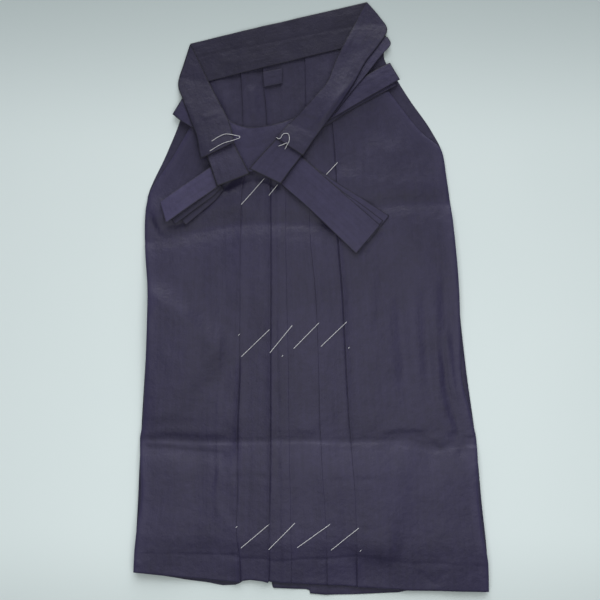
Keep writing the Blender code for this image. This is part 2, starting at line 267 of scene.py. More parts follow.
def twill(name, tone, roughness, painted_edge_tone, rim, sheen=0.03):
    """Twill of one tone, which is painted light or shade, and which within rim metres of its edges goes
    over
    to another: painted edge shade, or a painted highlight where that tone is lighter.
    """
    finish = Finish(name, Roughness=roughness, Specular_IOR_Level=0.3, Sheen_Weight=sheen,
                    Sheen_Roughness=0.5, Sheen_Tint=SHEEN_TINT)
    place, on_cloth = finish.coordinates("Object"), finish.coordinates("UV")
    across, along = finish.axis(on_cloth, 0), finish.axis(on_cloth, 1)

    yarn = finish.noise(on_cloth, YARN_SCALE, 1.0)
    ribs = 0.5 + 0.5 * ((across + along) * (2 * np.pi / RIB_PITCH) + yarn * 2.0).sine()
    cloudy = finish.noise(place, CLOUD_SCALE, 3.0, 0.55)
    mottled = finish.noise(place, MOTTLE_SCALE, 4.0, 0.65)
    streaky = finish.noise(finish.scaled(on_cloth, (1.0, 1 / STREAK_LENGTH, 1.0)), STREAK_SCALE, 3.0, 0.6)
    # the broader a pattern is, the more it counts
    shade = cloudy * 0.40 + mottled * 0.32 + streaky * 0.23 + ribs * 0.05
    darkest, lightest = tinted(tone * (1 - TONE_SPREAD)), tinted(tone * (1 + TONE_SPREAD))
    body = finish.mix(shade.smooth(0.3, 0.7), darkest, lightest)
    # painted edge shade: a dark rim stands in for the shadow along a folded edge, and a lighter rim is a
    # painted highlight
    from_edge = finish.node("ShaderNodeAttribute", dict(attribute_name="from_edge"), output=2)
    finish.feed("Base Color", finish.mix(from_edge.smooth(0.0, rim), tinted(painted_edge_tone), body))
    finish.feed("Roughness", roughness - 0.04 + mottled * 0.08)

    handled = finish.bump(finish.noise(place, HANDLING_SCALE, 5.0, 0.6), HANDLING_DEPTH, 0.5)
    streaks = finish.bump(streaky, STREAK_DEPTH, 0.5, below=handled)
    finish.feed("Normal", finish.bump(ribs, RIB_DEPTH, 0.35, below=streaks))
    return finish.material


# its tone, which is painted light and shade: above 1 a lit copy of the cloth, below 1 a shaded one;
# its roughness; the tone of its rim, which is painted edge shade, and a painted highlight along the sides
# of the outer skirt; and how wide the rim is
outer_face = twill("plum_grey_twill", 1.0, 0.45, 1.25, 0.030)
inside_shade_face = twill("plum_grey_twill_inside_painted_shade", 0.93, 0.50, 0.6, 0.002)
back_band_shade_face = twill("plum_grey_twill_back_band_painted_shade", 0.63, 0.50, 0.3, 0.002)
tie_light_face = twill("plum_grey_twill_tie_painted_light", 1.20, 0.45, 0.3, 0.0028)
left_drop_face = twill("plum_grey_twill_left_drop", 0.76, 0.47, 0.18, 0.0036)
right_drop_face = twill("plum_grey_twill_right_drop", 0.96, 0.47, 0.22, 0.0030)
left_wrap_face = twill("plum_grey_twill_left_wrap", 0.94, 0.47, 0.10, 0.0042)
right_wrap_face = twill("plum_grey_twill_right_wrap", 1.18, 0.45, 0.12, 0.0040)
under_tail_shadow_face = twill("plum_grey_twill_under_tail_painted_shadow", 0.82, 0.50, 0.3, 0.0024)
left_tail_light_face = twill("plum_grey_twill_left_tail_painted_light", 1.50, 0.44, 0.5, 0.0024, sheen=0.30)
print("faces:", ", ".join(material.name for material in bpy.data.materials if "twill" in material.name))

# %% [markdown]
# ## The thread and the floor
# The thread is soft white cotton, twisted from two plies. A striped finish on a smooth tube would show the
# twist from afar, but here the geometry carries it, so the finish needs only a fine fuzz. The floor is a
# plain pale board, and the light falls off beyond the waist and below the hem. Lamps that fade there would
# dim the cloth as well, so that falloff is painted shade in the board's colour.

# %% Thread and floor finishes
COTTON_DARK, COTTON_LIGHT = (0.70, 0.71, 0.72, 1), (0.90, 0.90, 0.90, 1)
FUZZ_SCALE, FUZZ_DEPTH = 2500.0, 0.0002
BOARD_DARK, BOARD_LIGHT = (0.71, 0.80, 0.79, 1), (0.74, 0.825, 0.815, 1)
# painted shade: where the light falls off, the board's colour goes over to these darker ones
BOARD_FAR_SHADE, FAR_FADE = (0.50, 0.575, 0.57, 1), (0.28, 0.70)          # beyond the waist
BOARD_NEAR_SHADE, NEAR_FADE = (0.60, 0.675, 0.665, 1), (-0.70, -0.45)     # and below the hem
FLOOR_HALF = 2500.0        # from its middle to its sides
FLOOR_TOP = -0.2           # just under the garment


def cotton():
    """White that a very fine noise darkens a little and raises as fuzz."""
    finish = Finish("white_cotton", Roughness=0.8, Sheen_Weight=0.2)
    fuzz = finish.noise(finish.coordinates("Object"), FUZZ_SCALE)
    finish.feed("Base Color", finish.mix(fuzz, COTTON_DARK, COTTON_LIGHT))
    finish.feed("Normal", finish.bump(fuzz, FUZZ_DEPTH, 0.3))
    return finish.material


def pale_board():
    """A pale tone with faint broad noise, which goes over to darker ones towards both ends along Y: painted
    shade where the light falls off.
    """
    finish = Finish("pale_board", Roughness=0.85)
    place = finish.coordinates("Object")
    northward = finish.axis(place, 1)
    plain = finish.mix(finish.noise(place, 3.0), BOARD_DARK, BOARD_LIGHT)
    shaded = finish.mix(northward.smooth(*FAR_FADE), plain, BOARD_FAR_SHADE)
    finish.feed("Base Color", finish.mix(northward.smooth(*NEAR_FADE), BOARD_NEAR_SHADE, shaded))
    return finish.material


thread_finish, floor_finish = cotton(), pale_board()

floor_mesh = bpy.data.meshes.new("floor")
corners = [Vector((x * FLOOR_HALF, y * FLOOR_HALF, FLOOR_TOP)) * MM
           for x, y in ((-1, -1), (1, -1), (1, 1), (-1, 1))]
floor_mesh.from_pydata(corners, [], [range(4)])
floor_mesh.materials.append(floor_finish)
floor = bpy.data.objects.new("floor", floor_mesh)
scene.collection.objects.link(floor)
print("floor", 2 * FLOOR_HALF * MM, "m wide")

# %% [markdown]
# ## Curves through tables
# Everything below is a grid of points, worked out for all points at once. A table gives a few stations,
# and a smooth curve goes through them. Common splines swing out beyond the values in a table, which
# on cloth looks like a ripple, so these cubics have slopes that never overshoot.

# %% A smooth curve through a table
def smooth_step(t):
    """0 before 0, 1 after 1, and between them 3 t squared less 2 t cubed."""
    t = np.clip(t, 0.0, 1.0)
    return t * t * (3 - 2 * t)


def through(knots, values, at):
    """values read at `at`, on cubics through the knots.

    Each cubic has the values and the slopes of the two knots at its ends. The slope at a knot is the
    harmonic mean of the slopes on its two sides, or 0 where one rises and the other falls, so that the
    curve never overshoots its table.
    """
    values = np.asarray(values, float)
    step = np.diff(knots)[:, None]
    slope = np.diff(values, axis=0) / step
    before, after = slope[:-1], slope[1:]
    agree = before * after > 0
    total = np.where(agree, before + after, 1.0)
    inner = np.where(agree, 2 * before * after / total, 0.0)
    slopes = np.concatenate([slope[:1], inner, slope[-1:]])
    i = np.clip(np.searchsorted(knots, at, side="right") - 1, 0, len(knots) - 2)
    t = ((at - np.asarray(knots)[i]) / step[i, 0])[:, None]
    return (values[i] * (1 + 2 * t) * (1 - t) ** 2 + slopes[i] * step[i] * t * (1 - t) ** 2
            + values[i + 1] * t * t * (3 - 2 * t) + slopes[i + 1] * step[i] * t * t * (t - 1))


def path_lengths(points):
    """How far along a path of points each of them lies: the lengths of the steps up to it, added up."""
    return np.append(0, np.cumsum(np.linalg.norm(np.diff(points, axis=0), axis=1)))


print("half way up a step:", smooth_step(0.5))
print("from 0, 0 to 3, 4 it is", path_lengths(np.array([(0, 0), (3, 4)]))[-1])

# %% [markdown]
# ## From a grid to a mesh
# A grid of points becomes quads between neighbours. The same grid also says where each point lies on the
# cloth: the lengths of its steps, added up, are the UV map. Unwrapping would give a map too, but not one
# in metres whose ribs run straight. How far a point is from an edge goes along as an attribute.

# %% A mesh from a grid
def grid_faces(index):
    """Quads that face up, on a grid of point numbers whose rows go down and whose columns go right."""
    corners = (index[1:, :-1], index[1:, 1:], index[:-1, 1:], index[:-1, :-1])
    return np.stack(corners, axis=-1).reshape(-1, 4)


def new_piece(name, points, faces, places, from_edge, finish):
    """An object from points in millimetres and faces.

    Each point's own place on the cloth becomes its UV, and how far it is from an edge an attribute.
    """
    mesh = bpy.data.meshes.new(name)
    mesh.from_pydata((points * MM).tolist(), [], faces.tolist())
    layer = mesh.uv_layers.new(name="cloth")
    layer.uv.foreach_set("vector", (places[faces.ravel()] * MM).ravel())
    attribute = mesh.attributes.new("from_edge", "FLOAT", "POINT")
    attribute.data.foreach_set("value", from_edge.ravel() * MM)
    mesh.polygons.foreach_set("use_smooth", np.ones(len(faces), bool))
    mesh.materials.append(finish)
    piece = bpy.data.objects.new(name, mesh)
    scene.collection.objects.link(piece)
    return piece


def cloth_place(grid):
    """How far each point of a grid lies across and along the cloth.

    It is the mean steps from column to column, and from row to row, added up.
    """
    across = np.linalg.norm(np.diff(grid, axis=1), axis=2).mean(axis=0)
    along = np.linalg.norm(np.diff(grid, axis=0), axis=2).mean(axis=1)
    u, v = np.meshgrid(np.append(0, np.cumsum(across)), np.append(0, np.cumsum(along)))
    return np.stack([u, -v], axis=-1).reshape(-1, 2)


print("a 3 by 3 grid has", len(grid_faces(np.arange(9).reshape(3, 3))), "faces")

# %% [markdown]
# ## The pile
# Cloth laid on cloth takes the shape of what is under it, softened. A cloth simulation could drop each
# piece on the last, but stiff folded ties would slide and take minutes to settle. Instead a height map
# remembers what has been laid down. A new piece asks for the highest place within a few millimetres of
# each of its points, and smooths the answer: that is its bed, and edges below show through it.

# %% The height map
CELL = 1.5                 # millimetres across one square of the map
MARGIN = 30.0


def spread(field, cells, combine):
    """The field with each cell combined with its neighbours up to so many cells away, along both axes."""
    for axis in (0, 1):
        shifted = [np.roll(field, k, axis) for k in range(-cells, cells + 1)]
        field = combine(np.stack(shifted))
    return field


class Pile:
    """How high the cloth laid so far reaches, in millimetres, over squares of CELL."""

    def __init__(self, low, high):
        self.corner = np.array([low.x, low.y]) / MM - MARGIN
        size = (np.array([high.x, high.y]) / MM + MARGIN - self.corner) / CELL
        self.height = np.zeros(np.ceil(size).astype(int)[::-1])

    def add(self, grid):
        """Adds a grid of points, and the points between them, so that no square is missed."""
        for s in (0.0, 1 / 3, 2 / 3):
            for t in (0.0, 1 / 3, 2 / 3):
                upper = grid[:-1, :-1] * (1 - t) + grid[:-1, 1:] * t
                lower = grid[1:, :-1] * (1 - t) + grid[1:, 1:] * t
                x, y, z = (upper * (1 - s) + lower * s).reshape(-1, 3).T
                column = np.clip(((x - self.corner[0]) / CELL).astype(int), 0, self.height.shape[1] - 1)
                row = np.clip(((y - self.corner[1]) / CELL).astype(int), 0, self.height.shape[0] - 1)
                np.maximum.at(self.height, (row, column), z)

    def bed(self, x, y, reach, ease):
        """The highest place within reach of each point, smoothed with a bell of width ease.

        Between the middles of four squares it is their heights, each by how near it is.
        """
        cells = int(np.ceil(2.5 * ease / CELL))
        bell = np.exp(-(np.arange(-cells, cells + 1) * CELL / ease) ** 2)
        bell /= bell.sum()
        column, row = (x - self.corner[0]) / CELL - 0.5, (y - self.corner[1]) / CELL - 0.5
        around = cells + int(round(reach / CELL)) + 2
        left, low = max(0, int(column.min()) - around), max(0, int(row.min()) - around)
        window = self.height[low:int(row.max()) + around, left:int(column.max()) + around]
        widened = spread(window, int(round(reach / CELL)), lambda stack: stack.max(axis=0))
        smoothed = spread(widened, cells, lambda stack: np.tensordot(bell, stack, axes=1))
        column = np.clip(column - left, 0, window.shape[1] - 1.001)
        row = np.clip(row - low, 0, window.shape[0] - 1.001)
        j, i = column.astype(int), row.astype(int)
        s, t = row - i, column - j
        return ((smoothed[i, j] * (1 - t) + smoothed[i, j + 1] * t) * (1 - s)
                + (smoothed[i + 1, j] * (1 - t) + smoothed[i + 1, j + 1] * t) * s)


pile = Pile(*cad_box)
print("height map of", " by ".join(str(n) for n in pile.height.shape), "squares")

# %% [markdown]
# ## Creases
# Sculpting would put creases anywhere, but could not be read or repeated. Here each is given in the
# garment's own millimetres. It is a line through a few points, with a bell across it that may be steep
# on one side and gentle on the other: a valley where the cloth was folded for storage, or a swell where it
# does not lie quite flat.

# %% A crease
# rise is its height, negative for a valley. left and right are the widths of its bell to the left and
# right of someone who walks along the points. fade is the share of its length over which it comes in and
# goes out again.
Crease = namedtuple("Crease", "points rise left right fade")


def crease_height(x, y, crease):
    """The rise, times a bell of the distance from the line, fading out over both ends of the line."""
    points = np.array(crease.points, float)
    steps = np.diff(points, axis=0)
    lengths = np.linalg.norm(steps, axis=1)
    starts = np.append(0, np.cumsum(lengths))
    nearest = np.full(x.shape, np.inf)
    offset, along = np.zeros(x.shape), np.zeros(x.shape)
    for point, step, length, start in zip(points, steps, lengths, starts):
        run = ((x - point[0]) * step[0] + (y - point[1]) * step[1]) / length
        side = (step[0] * (y - point[1]) - step[1] * (x - point[0])) / length
        held = np.clip(run, 0, length)
        distance = np.hypot(run - held, side)
        closer = distance < nearest
        nearest = np.where(closer, distance, nearest)
        offset = np.where(closer, np.where(side >= 0, distance, -distance), offset)
        along = np.where(closer, start + held, along)
    width = np.where(offset > 0, crease.left, crease.right)
    share = along / starts[-1]
    fade = smooth_step(share / crease.fade) * smooth_step((1 - share) / crease.fade) if crease.fade else 1.0
    return crease.rise * np.exp(-(offset / width) ** 2) * fade


def relief(x, y, creases):
    """The sum of all the creases at each point."""
    return sum((crease_height(x, y, c) for c in creases), np.zeros(x.shape))


Swell = namedtuple("Swell", "length heading phase")      # the heading and the phase are in radians
SWELLS = (
    Swell(97, 0.3, 1.1),
    Swell(131, 2.0, 4.0),
    Swell(71, 1.2, 0.4),
    Swell(173, 2.7, 2.2),
    Swell(59, 0.8, 5.1),
)


def unevenness(x, y):
    """Gentle swells that no pressing takes out, from -1 to 1.

    They are sine waves of unlike length and direction, added up, and a longer one counts for more.
    """
    total = np.zeros(x.shape)
    for wave in SWELLS:
        across = x * np.cos(wave.heading) + y * np.sin(wave.heading)
        total += np.sin(across * 2 * np.pi / wave.length + wave.phase) * wave.length
    return total / sum(wave.length for wave in SWELLS)


sample = Crease(((-9, 0), (9, 0)), -1, 5, 5, 0.3)
print("in its middle a valley is", crease_height(np.zeros(1), np.zeros(1), sample)[0], "high")

# %% [markdown]
# ## A pleated row
# A knife pleat is three plies: the cloth goes out to the outer fold, back under itself to the inner fold,
# and on again. Three flat layers would look like one from above, but not at the hem, where its end shows.
# So the whole skirt is one sheet that zigzags. A row of it is a list of runs, and only the places of the
# folds change from row to row.

# %% The runs of a row
CLEAR = 2.0                # the climb on to a pleat ends this far short of its inner fold
FINE = 4.0                 # columns are close together this near to an outer fold
FINE_SPACING = 1.4
HIDDEN_SPACING = 15.0
MIDDLE_SPACING = 5.0       # the middle ply rises with the one above it
CROWDING = 1.6             # the columns of a pleat's upper ply are this many times closer together

# fold is the place of the outer fold in the rows, depth how far the cloth goes back under, points 1 to
# the right or -1 to the left, and climb the run over which the cloth rises on to the pleat.
Pleat = namedtuple("Pleat", "fold depth points climb")

# A run is a stretch of the cross-section, from start to end along X. It is on ply low where it starts and
# on ply high where it ends, counted from the bed.
Run = namedtuple("Run", "start end low high spacing")


def pleat_runs(fold, pleat, spacing):
    """The runs of one pleat, from the foot of its climb to a little beyond its outer fold."""
    back = -pleat.points
    inner = fold + back * pleat.depth
    top = inner + back * CLEAR
    foot = top + back * pleat.climb
    shoulder, under, beyond = fold + back * FINE, fold + back * FINE_SPACING, fold - back * FINE
    close = spacing / CROWDING
    return [Run(foot, top, 0, 2, close), Run(top, shoulder, 2, 2, close),
            Run(shoulder, fold, 2, 2, FINE_SPACING), Run(fold, inner, 1, 1, MIDDLE_SPACING),
            Run(inner, under, 0, 0, HIDDEN_SPACING), Run(under, beyond, 0, 0, FINE_SPACING)]


def runs_across(left, right, folds, pleats, spacing):
    """The runs of a whole row, from left to right. A pleat that points left is gone through backwards."""
    runs, here = [], left
    for fold, pleat in zip(folds, pleats):
        pleated = pleat_runs(fold, pleat, spacing)
        if pleat.points < 0:
            pleated = [Run(run.end, run.start, run.high, run.low, run.spacing) for run in reversed(pleated)]
        runs += [Run(here, pleated[0].start, 0, 0, spacing), *pleated]
        here = pleated[-1].end
    return runs + [Run(here, right, 0, 0, spacing)]


print("runs of a pleat whose fold is at 0 end at",
      [float(run.end) for run in pleat_runs(0, Pleat("fold1", 40, 1, 30), 5)])

# %% [markdown]
# ## The cross-section
# Between two runs on different plies the cloth turns round half a circle. A real pleat is seldom quite
# shut: its outer fold stands open by a millimetre or more, and its shadow is what is seen of it. Where a
# fold is shut, the cloth beside it comes up to meet it, and the line all but vanishes.

# %% From runs to a cross-section
CLOTH = 0.5                # thickness of the twill
PITCH = 0.65               # from one ply to the next in a pleat
OPEN_REACH = 10.0          # how far in from its outer fold a pleat stands open
NIP_REACH = 1.5            # how far out from an open fold the ply below it is pressed down
NIP_DEPTH = 2.0
WIDE = 4.0                 # an opening that counts as wide
FLUSH_REACH = 9.0          # how far out from a shut fold the ply below it comes up to meet it
FLUSH_RISE = 1.2
RIM = 0.7                  # the last column and row before an edge are this near to it
TURN = np.radians([45, 0, -45])   # points round a half turn, between its two ends


def section(left, right, folds, pleats, openings, spacing):
    """X and height above the bed of every column of a skirt, for every row.

    A run rises from its low ply to its high one along an S curve. Between two runs on different plies
    there is a half circle, whose diameter is the pitch. An opening is how far a fold stands up, and dies
    away behind the fold as an exponential. Where it is wide the ply below is pressed down beside it, and
    where it is shut that ply comes up to meet it, both as bells.
    """
    radius = PITCH / 2
    inset = radius + CLOTH / 2
    runs = runs_across(left, right, folds, pleats, spacing)
    xs, plies = [], []
    turned = False
    for run, following in zip(runs, runs[1:] + [None]):
        heading = np.sign((run.end - run.start).mean())
        turns = following is not None and following.low != run.high
        first = run.start + heading * inset * turned
        last = run.end - heading * inset * turns
        count = max(2, int(round(np.abs(run.end - run.start).mean() / run.spacing)) + 1)
        share = np.linspace(0, 1, count)[0 if turned or not xs else 1:]
        rim = RIM / np.abs(run.end - run.start).mean()
        if not xs:
            share = np.insert(share, 1, rim)
        if following is None:
            share = np.insert(share, -1, 1 - rim)
        xs.append(first[:, None] * (1 - share) + last[:, None] * share)
        plies.append((run.low + (run.high - run.low) * smooth_step(share)) * np.ones(xs[-1].shape))
        if turns:
            xs.append(last[:, None] + heading * radius * np.cos(TURN))
            step = (run.high - following.low) * np.sin(TURN) / 2
            plies.append(((run.high + following.low) / 2 + step) * np.ones(xs[-1].shape))
        turned = turns
    x, ply = np.concatenate(xs, axis=1), np.concatenate(plies, axis=1)
    height = ply * PITCH
    for fold, pleat, opening in zip(folds, pleats, openings):
        inward = (fold[:, None] - x) * pleat.points
        opening = opening[:, None]
        on_pleat = (inward > -1) & (inward < pleat.depth + CLEAR)
        height += opening * smooth_step(ply) * on_pleat * np.exp(-np.abs(inward) / OPEN_REACH)
        beside = (ply == 0) & (inward < 1)
        nip = NIP_DEPTH * smooth_step(opening / WIDE) * np.exp(-((inward + NIP_REACH / 2) / NIP_REACH) ** 2)
        flush = FLUSH_RISE * smooth_step(1 - opening) * np.exp(-(inward / FLUSH_REACH) ** 2)
        height += beside * (flush - nip)
    return x, height


print("a pleat has 3 plies and is", 2 * PITCH + CLOTH, "mm high")

# %% [markdown]
# ## From a table of rows to a skirt
# A lofted surface would space its rows evenly. Here a list of marks puts them close together where a
# storage fold or a seam needs them, and far apart on plain cloth, so that the mesh stays light.

# %% Stations down a skirt
def stations(marks):
    """Row places from the first mark to the last: each mark is a place and the spacing that follows it.

    One more row is added close to each end, so that the turn over the edge is sharp.
    """
    places = [np.array([marks[0][0]], float)]
    for (here, spacing), (there, _) in zip(marks, marks[1:]):
        count = max(1, int(round(abs(there - here) / spacing)))
        places.append(np.linspace(here, there, count + 1)[1:])
    places = np.concatenate(places)
    return np.insert(places, [1, -1], [places[0] + RIM, places[-1] - RIM])


print("stations from 0 to 10, 5 apart:", stations(((0, 5), (10, 5))).tolist())

# %% The plan of a skirt
SIDE_CURVE = 1.3           # how a row bends from its middle to its ends: 1 is straight, 2 a parabola
EDGE_ROLL = 3.0            # the sides and the hem round down over this much
EDGE_DROP = 0.8
HEM_EASE = 70.0            # the rows take on the hem's own outline over this length


def skirt_plan(rows, pleats, openings, marks, spacing, hem):
    """X, Y, the height above the bed and the distance from the nearer side, for every point of a skirt.

    The rows and the openings are read on smooth curves, at stations that the marks give. Across a row Y
    goes from the middle to either end as a power of the way there, and the last rows bend to the hem.
    Near the sides and the hem the height rounds down as a quarter circle does.
    """
    table = np.array([[float(v) for v in row] for row in rows])
    names = rows[0]._fields
    depth = -table[:, names.index("mid_y")]
    places = stations([(-y, gap) for y, gap in marks])
    column = dict(zip(names, through(depth, table, places).T))
    folds = [column[p.fold] for p in pleats]
    open_table = np.array(openings, float)
    stood = through(-open_table[:, 0], open_table[:, 1:], np.clip(places, *-open_table[[0, -1], 0])).T
    x, height = section(column["left_x"], column["right_x"], folds, pleats, stood, spacing)

    def down(name):
        """One column of the table, to be reckoned with row by row."""
        return column[name][:, None]

    to_left = x < down("mid_x")
    end_x = np.where(to_left, down("left_x"), down("right_x"))
    end_y = np.where(to_left, down("left_y"), down("right_y"))
    share = np.clip((x - down("mid_x")) / (end_x - down("mid_x")), 0, 1)
    y = down("mid_y") + (end_y - down("mid_y")) * share ** SIDE_CURVE

    hem_x, hem_y = np.array(hem, float).T
    near_hem = smooth_step(1 - (places[-1] - places) / HEM_EASE)[:, None]
    outline = np.interp(x[-1], hem_x, hem_y)
    y = y + near_hem * (outline - y[-1])

    from_side = np.minimum(x - down("left_x"), down("right_x") - x)
    roll = np.clip(1 - np.minimum(from_side, y - y[-1]) / EDGE_ROLL, 0, 1)
    height = height - EDGE_DROP * (1 - np.sqrt(1 - roll ** 2))
    return x, y, height, from_side


print("skirts follow their hems over the last", HEM_EASE, "mm")

# %% A skirt from its points
TRIANGLE_LIMIT = 200000    # each cell of a skirt has two triangles on each of its faces


def grid_area(grid):
    """Area of a grid in square metres: half the cross product of each cell's two diagonals."""
    one, other = grid[1:, 1:] - grid[:-1, :-1], grid[1:, :-1] - grid[:-1, 1:]
    return np.linalg.norm(np.cross(one, other), axis=2).sum() / 2 * MM * MM


def make_skirt(name, x, y, z, from_side, finish):
    """One sheet of twill through the points, with its thickness added evenly on both faces."""
    grid = np.stack([x, y, z], axis=-1)
    index = np.arange(x.size).reshape(x.shape)
    piece = new_piece(name, grid.reshape(-1, 3), grid_faces(index), cloth_place(grid), from_side, finish)
    wall = piece.modifiers.new("twill", "SOLIDIFY")
    wall.thickness = CLOTH * MM
    wall.offset = 0.0
    pile.add(grid + (0, 0, CLOTH / 2))
    print(f"{name}: {x.shape[0]} rows by {x.shape[1]} columns, {grid_area(grid):.3f} square metres")
    assert 4 * x.size < TRIANGLE_LIMIT, x.shape
    return piece, grid_area(grid)


print("a skirt may have", TRIANGLE_LIMIT // 4, "points")

# %% [markdown]
# ## Where it was folded to be put away
# The garment was kept folded in three, so two folds run right across it. At each the cloth dips and then
# rises on to a long swell, steep on one side. A bell can't have that shape, so each is a line across the
# skirt and a table of levels. Front and back are sewn together at the sides, so there both follow it.

# %% Folded for storage
# A level is how high the cloth lies, so far below the line. Below means towards the hem.
Level = namedtuple("Level", "below height")
SEWN_WIDTH = 90.0          # how far in from the sewn sides the back skirt is lifted
SEWN_TOP = 190.0           # the sides are sewn below this
SEWN_EASE = 60.0
SEWN_FOOT = -625.0         # and come down again towards the hem
HEM_FALL = 150.0
LOWER_FOLD = (
    (-370, -286), (-293, -283), (-223, -288), (-173, -285), (-113, -284), (-23, -282), (47, -285),
    (137, -284), (190, -283), (215, -290), (237, -302), (262, -302), (290, -291), (370, -287),
)
LOWER_LEVELS = (
    Level(-600, 0.0), Level(-400, 0.4), Level(-200, 2.4), Level(-60, 2.8), Level(-30, 2.2), Level(-9, 0.8),
    Level(-2, 0.0), Level(1, 0.0), Level(5, 1.4), Level(9, 2.7), Level(18, 4.5), Level(30, 6.8),
    Level(46, 9.2), Level(66, 10.8), Level(95, 11.2), Level(330, 11.2),
)
UPPER_FOLD = (
    (-370, 108), (-290, 123), (-243, 131), (-190, 141), (-130, 150), (-50, 150), (0, 149), (60, 160),
    (110, 178), (160, 189), (230, 192), (300, 194),
)
UPPER_LEVELS = (
    Level(-200, 0.0), Level(-120, 1.0), Level(-70, 2.8), Level(-34, 3.4), Level(-12, 1.2), Level(-3, -0.2),
    Level(2, 0.0), Level(9, 1.7), Level(19, 4.2), Level(29, 6.1), Level(50, 8.2), Level(80, 8.9),
    Level(120, 8.2), Level(200, 6.0), Level(300, 3.2), Level(400, 0.6), Level(460, 0.0),
)


def fold_height(x, y, line, levels):
    """The level that the table gives at each point's own distance below the line."""
    line_x, line_y = np.array(line, float).T
    below = np.interp(x, line_x, line_y) - y
    table = np.array(levels)
    return through(table[:, 0], table[:, 1:], np.clip(below, *table[[0, -1], 0]).ravel()).reshape(x.shape)


def storage_height(x, y):
    """The heights of both folds, added up."""
    return fold_height(x, y, LOWER_FOLD, LOWER_LEVELS) + fold_height(x, y, UPPER_FOLD, UPPER_LEVELS)


def side_height(x, y, from_side):
    """What the folds lift near the sewn sides, where the back skirt goes up with the front one.

    It is the height of both folds, times three S curves: in from the side, down from where the sides begin
    to be sewn, and up from the hem.
    """
    sewn = smooth_step(1 - from_side / SEWN_WIDTH) * smooth_step((SEWN_TOP - y) / SEWN_EASE)
    sewn = sewn * smooth_step((y - SEWN_FOOT) / HEM_FALL)
    return sewn * storage_height(x, y)


print("lower fold rises to", max(level.height for level in LOWER_LEVELS), "mm below its valley")

# %% [markdown]
# ## The back skirt
# It lies face down under everything. It shows inside the waist, along the slits at the two sides and as a
# narrow strip under the front hem, where its three pleats end one beside the other. Only those parts need
# shape, but it is made whole, because the front lies on it and takes its pleats' height.

# %% The back skirt's rows, pleats and hem
# A row goes from its left end through its middle to its right end, and fold1 and so on are where its
# pleats' outer folds are. An opening is how high a fold stands, at one Y. A mark is a Y and the distance
# from row to row below it. A hem is an outline.
BackRow = namedtuple("BackRow", "left_x left_y mid_x mid_y right_x right_y fold1 fold2 fold3")
BACK_ROWS = (
    BackRow(-251, 429, -55, 477, 144, 528, -141, -97, -13),      # under the waistband
    BackRow(-255, 397, -73, 427, 144.5, 484, -139, -95, -12),
    BackRow(-259, 369, -87, 387, 166.5, 444, -137, -91, -11),
    BackRow(-267, 343, -93, 337, 196.5, 396, -136, -88, -10),
    BackRow(-291, 285, -99, 277, 238.5, 336, -135, -87, -10),
    BackRow(-328, 199, -93, 213, 263, 285, -134, -86, -9),       # end of the slits
    BackRow(-331, 160, -86, 165, 270, 228, -134, -86, -9),
    BackRow(-331, 121, -73, 117, 282, 145, -133, -85, -8),
    BackRow(-324, -3, -53, -3, 293, -3, -131, -83, -7),
    BackRow(-332, -143, -43, -145, 308.3, -143, -129, -81, -6),
    BackRow(-340.5, -283, -33, -287, 327.5, -283, -127, -79, -5),
    BackRow(-344.2, -383, -20, -392, 336.9, -393, -126, -78, -4),
    BackRow(-351, -507, -3, -523, 350, -529, -124, -76, -3),
    BackRow(-353, -544, 37, -588, 351, -582, -123, -76, -3),     # hem edge
)
BACK_PLEATS = (
    Pleat("fold1", 22.0, -1, 10.0),
    Pleat("fold2", 40.0, -1, 14.0),
    Pleat("fold3", 30.0, -1, 30.0),
)
BackOpening = namedtuple("BackOpening", "y fold1 fold2 fold3")
BACK_OPENINGS = (
    BackOpening(477, 4.0, 4.4, 2.2),
    BackOpening(300, 3.2, 3.6, 1.6),
    BackOpening(-588, 0.6, 0.6, 0.4),
)
BACK_MARKS = ((477, 5.0), (277, 12.0), (-480, 5.0), (-588, 5.0))
BACK_HEM = (
    (-354, -543), (-303, -552.5), (-255, -561), (-207, -567), (-179, -573), (-149, -572), (-140, -567),
    (-130, -558), (-82, -558), (-77, -578), (-9, -581), (-4, -583), (-3, -589), (27, -592), (87, -591),
    (177, -587), (191, -583.5), (352, -582.5),
)
BACK_SPACING = 6.5         # from column to column
BACK_SLACK = 0.35          # half the height of its gentle swells
INSIDE_CREASES = (
    Crease(((-58, 452), (-55, 380), (-54, 300)), 0.7, 3, 3, 0.3),    # a seam allowance seen through
    Crease(((32, 490), (36, 420), (38, 360)), 0.8, 4, 3, 0.3),
    Crease(((8, 480), (20, 430), (5, 390)), 0.9, 18, 14, 0.4),
    Crease(((60, 470), (20, 400), (-40, 350)), 1.6, 16, 22, 0.4),    # pulled by the tie above it
    Crease(((-196, 452), (-180, 410), (-158, 360)), 3.2, 14, 14, 0.25),
    Crease(((-118, 430), (-117, 390), (-114, 352)), 2.6, 11, 11, 0.25),
)
x, y, height, from_side = skirt_plan(
    BACK_ROWS, BACK_PLEATS, BACK_OPENINGS, BACK_MARKS, BACK_SPACING, BACK_HEM)
lying = side_height(x, y, from_side) + BACK_SLACK * (1 + unevenness(x, y)) + relief(x, y, INSIDE_CREASES)
z = CLOTH / 2 + EDGE_DROP + np.maximum(height + lying, 0)
back_skirt, back_area = make_skirt("back_skirt_cloth", x, y, z, from_side, inside_shade_face)

# %% [markdown]
# ## Strips
# The waistbands, ties and wraps are cloth folded along both edges and pressed: flattened tubes. A curve
# with a bevel would give each the same section all along, but a tie widens, narrows and bends in its own
# plane. So a strip is carried along ribs that go across it from one edge to the other, which say where
# both edges are, and its points lie closer together where the edges round off.

# %% The plan of a strip
Rib = namedtuple("Rib", "a_x a_y b_x b_y")
STRIP_STEP = 2.6           # spacing of points along and across a strip
EDGE_SHARES = np.array([0.0, 0.08, 0.3, 0.65, 1.1])   # points near an edge, as shares of its rounding


